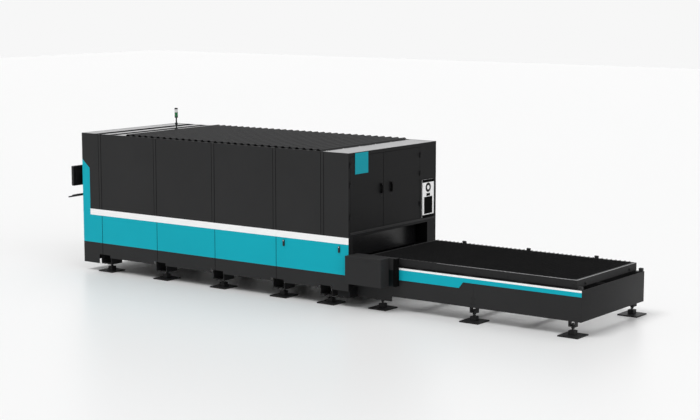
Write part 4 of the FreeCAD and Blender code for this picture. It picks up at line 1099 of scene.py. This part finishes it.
def base_details():
    """Screws, a dark teal-tinted cover that paints the shade over the base's stripe behind the
    drive housing, black strips that paint the shade on the wing's end and side, and the base's end
    sheet in a shade-toned paint.
    """
    low, high = box("base_frame")
    base_bolts(low, high)
    drive_low, drive_high = box("drive_box")
    screws = shape("drive_cover_screws", "black_metal")
    cover = shape("drive_wing_shade_cover", "painted_stripe_shade")
    edge = shape("drive_wing_shade_edge", "joint_shadow")
    sheet = shape("base_end_shade_sheet", "base_end_shade_paint")
    for x in spaced(drive_low.x + 60, drive_low.x + 540, 4):
        pan_screw(screws, (x, drive_low.y + 16, drive_high.z), Z, 11)
    # The wing's front gets the dark teal-tinted tone and its end and side get black: painted shade
    # behind the drive housing.
    front = drive_low.y + WING_SET_BACK
    foot, top = drive_low.z + 1, drive_high.z - 1
    start = drive_high.x - WING_EDGE
    block(cover, (drive_low.x + WING_JOINT, front, foot), (start, front + 1, low.z + 466))
    block(edge, (start, front, foot), (drive_high.x, front + 1, top))
    block(edge, (drive_high.x, front, foot), (drive_high.x + 1, low.y - 1, top))
    # A sheet over the base's end face in its own toned copy of the dark paint: painted shade.
    block(sheet, (high.x, low.y + 3, low.z + 75),
          (high.x + 1.2, high.y - 3, box("base_stripe")[1].z - 3), 0.5)


def foot_centres():
    """The middles of the feet's floor plates, read from the plates' lowest corners."""
    corners = {(round(vert.co.x / MM), round(vert.co.y / MM))
               for vert in nodes["levelling_feet"].data.vertices if vert.co.z < MM}
    return [(x + FOOT_SIZE / 2, y + FOOT_SIZE / 2) for x, y in sorted(corners)
            if (x + FOOT_SIZE, y) in corners and (x, y + FOOT_SIZE) in corners]


def foot_details():
    """Screw threads and lock nuts of the levelling feet."""
    thread = [(0, 11)]
    for turn in range(THREAD_TURNS):
        base = THREAD_PITCH * turn
        thread += [(base + 1.1, 14.2), (base + 3.3, 11.4)]
    threads = shape("foot_threads", "zinc_plate")
    nuts = shape("foot_lock_nuts", "black_metal")
    for x, y in foot_centres():
        turned(threads, (x, y, THREAD_BASE), Z, thread, 16)
        turned(nuts, (x, y, THREAD_BASE), Z, LOCK_NUT, 6)


# ---- console and signal tower ----
SCREEN_RIM = 16.4
TRAY_SLOPE = math.radians(12)
KEY = 17
KEY_ROW = 21
KEYS_HALF = 181
BUTTON = ((0, 3), (0.8, 3), (1.1, 2.4))
CLAMP = ((0, 17), (3, 22), (33, 22), (36, 17))


def console_details():
    """The monitor's bare screen, buttons and slotted back."""
    low, high = box("monitor")
    screen = shape("monitor_screen", "dark_glass", "console")
    back = shape("monitor_back", "black_plastic", "console")
    buttons = shape("monitor_buttons", "grey_plastic", "console")
    block(screen, (low.x + 0.7, low.y + SCREEN_RIM, low.z + SCREEN_RIM),
          (low.x + 2.4, high.y - SCREEN_RIM, high.z - SCREEN_RIM), 0.5)
    block(back, (high.x - 0.2, low.y + 60, low.z + 40), (high.x + 5, high.y - 60, high.z - 60), 3)
    for slot in range(9):
        z = high.z - 50 + slot * 4
        block(back, (high.x - 0.3, low.y + 110, z), (high.x + 1.2, high.y - 110, z + 2))
    for place in range(5):
        turned(buttons, (low.x, low.y + 60 + place * 16, low.z + 8), -X, BUTTON, 14)


def keyboard():
    """A low keyboard with blank keys on the sloping tray."""
    low, high = box("keyboard_tray")
    top = high.z - (high.x - low.x) * math.tan(TRAY_SLOPE)
    place = Matrix.Translation((low.x, (low.y + high.y) / 2, top))
    place = place @ Matrix.Rotation(-TRAY_SLOPE, 4, "Y") @ Matrix.Translation((50, 0, 0.3))
    base = shape("keyboard_base", "black_plastic", "console")
    keys = shape("keyboard_keys", "key_plastic", "console")
    block(base, (8, -190, 0), (128, 190, 9), 2)
    base.transform(place)
    for row in range(5):
        count = 18 if row else 16
        pitch = 2 * KEYS_HALF / count
        spans = [(column + 0.07, column + 0.93) for column in range(count)]
        if row == 0:
            spans = spans[:4] + spans[11:] + [(4.1, 10.9)]
        x = 20 + row * KEY_ROW
        for start, end in spans:
            near, far = pitch * start - KEYS_HALF, pitch * end - KEYS_HALF
            block(keys, (x, near, 9), (x + KEY, far, 13), 1.2)
    keys.transform(place)


def tower_details():
    """The ribbed lenses of the signal tower, its clamp, sleeve and trim rings."""
    for name, finish in (("tower_lens_green", "green_lens"), ("tower_lens_clear", "lens_white")):
        low, high = box(name)
        centre = ((low.x + high.x) / 2, (low.y + high.y) / 2)
        count = int((high.z - low.z) / 5)
        ribs = shape(name + "_ribs", finish)
        for rib in range(count):
            z = low.z + (rib + 0.5) * (high.z - low.z) / count
            wire_ring(ribs, (*centre, z), Z, 26, 1.3, 32, 6)
    foot = box("tower_pole")[0].z
    lens = box("tower_lens_green")[0].z
    clamp = shape("tower_clamp", "black_plastic")
    rings = shape("tower_trim_rings", "black_plastic")
    turned(clamp, (*centre, (foot + lens - 18) / 2 - 18), Z, CLAMP, 20)
    turned(clamp, (*centre, foot + 11), Z, [(0, 15), (4, 12), (lens - foot - 32, 12)], 20)
    wire_ring(rings, (*centre, high.z + 3), Z, 27, 1.2, 32, 6)
    wire_ring(rings, (*centre, foot + 14), Z, 28, 1.6, 32, 6)


# ---- the whole machine ----
dress_nodes()
for side in ("near", "far"):
    upper_lips(side)
    lower_joints(side)
    cover_screws(side)
roof_folds()
roof_rails()
roof_rim_caps()
corner_trims()
roof_details()
cabinet_cooler()
end_face_details()
hinge_pins()
for side in ("left", "right"):
    door_details(side)
for level in ("upper", "lower"):
    table_slats(level)
    table_details(level)
gate_details()
latch_details()
switchgear_details()
gantry_details()
head_details()
operator_end_details()
table_bumpers()
base_details()
foot_details()
console_details()
keyboard()
tower_details()
make_pieces()


# ---- floor, camera and light, in metres ----
PALE = 0.93
FLOOR_TONE = 0.87
FLOOR_REACH = 60.0
SKY = 0.24
SUN = 1.62
SUN_FROM = (-0.20, -0.45, 0.87)
SUN_SPREAD = 30
FILL = 1.16
FILL_FROM = (0.86, -0.25, 0.45)
BACK = 0.76
BACK_FROM = (0.05, 0.38, 0.92)
SOFT_SPREAD = 60
CAMERA_PLACE = (14.5595, -19.308, 4.610)
CAMERA_TILT = 90 - 8.044
CAMERA_TURN = 36.474
CAMERA_LENS = 83.886


def studio_world():
    """Even soft light, with a plain pale backdrop for the rays that only look at it."""
    world = bpy.data.worlds.new("studio")
    bpy.context.scene.world = world
    world.use_nodes = True
    tree = world.node_tree
    soft = tree.nodes["Background"]
    preset(soft, {"Color": (1, 1, 1, 1), "Strength": SKY})
    backdrop = node(tree, "Background")
    preset(backdrop, {"Color": (PALE, PALE, PALE, 1), "Strength": 1.0})
    path = node(tree, "LightPath").outputs
    seen = arithmetic(tree, "MAXIMUM", path["Is Camera Ray"], path["Is Glossy Ray"])
    seen = arithmetic(tree, "MAXIMUM", seen, path["Is Transmission Ray"])
    mix = node(tree, "MixShader")
    for result, socket in zip((seen, soft.outputs[0], backdrop.outputs[0]), mix.inputs):
        tree.links.new(result, socket)
    tree.links.new(mix.outputs["Shader"], tree.nodes["World Output"].inputs["Surface"])


def studio_floor():
    """A wide pale floor under the machine."""
    start_finish("studio_floor", {"Base Color": (FLOOR_TONE, FLOOR_TONE, FLOOR_TONE, 1),
                                  "Roughness": 0.35})
    mesh = bpy.data.meshes.new("studio_floor")
    signs = ((-1, -1), (1, -1), (1, 1), (-1, 1))
    corners = [(x * FLOOR_REACH, y * FLOOR_REACH, 0) for x, y in signs]
    mesh.from_pydata(corners, [], [(0, 1, 2, 3)])
    mesh.materials.append(finishes["studio_floor"])
    placed("studio_floor", mesh)


def broad_light(name, power, source, spread):
    """An even light from one side, wide enough for soft shadows."""
    lamp = bpy.data.lights.new(name, "SUN")
    lamp.energy = power
    lamp.angle = math.radians(spread)
    placed(name, lamp).rotation_euler = (-Vector(source)).to_track_quat("-Z", "Y").to_euler()


def studio_camera():
    """The place from which the photo was taken."""
    data = bpy.data.cameras.new("camera")
    data.lens = CAMERA_LENS
    data.sensor_width = 36.0
    camera = placed("camera", data)
    camera.location = CAMERA_PLACE
    camera.rotation_euler = (math.radians(CAMERA_TILT), 0, math.radians(CAMERA_TURN))
    bpy.context.scene.camera = camera


studio_world()
studio_floor()
broad_light("near_side_light", SUN, SUN_FROM, SUN_SPREAD)
broad_light("end_face_light", FILL, FILL_FROM, SOFT_SPREAD)
broad_light("far_side_light", BACK, BACK_FROM, SOFT_SPREAD)
studio_camera()
bpy.context.scene.view_settings.view_transform = "Standard"
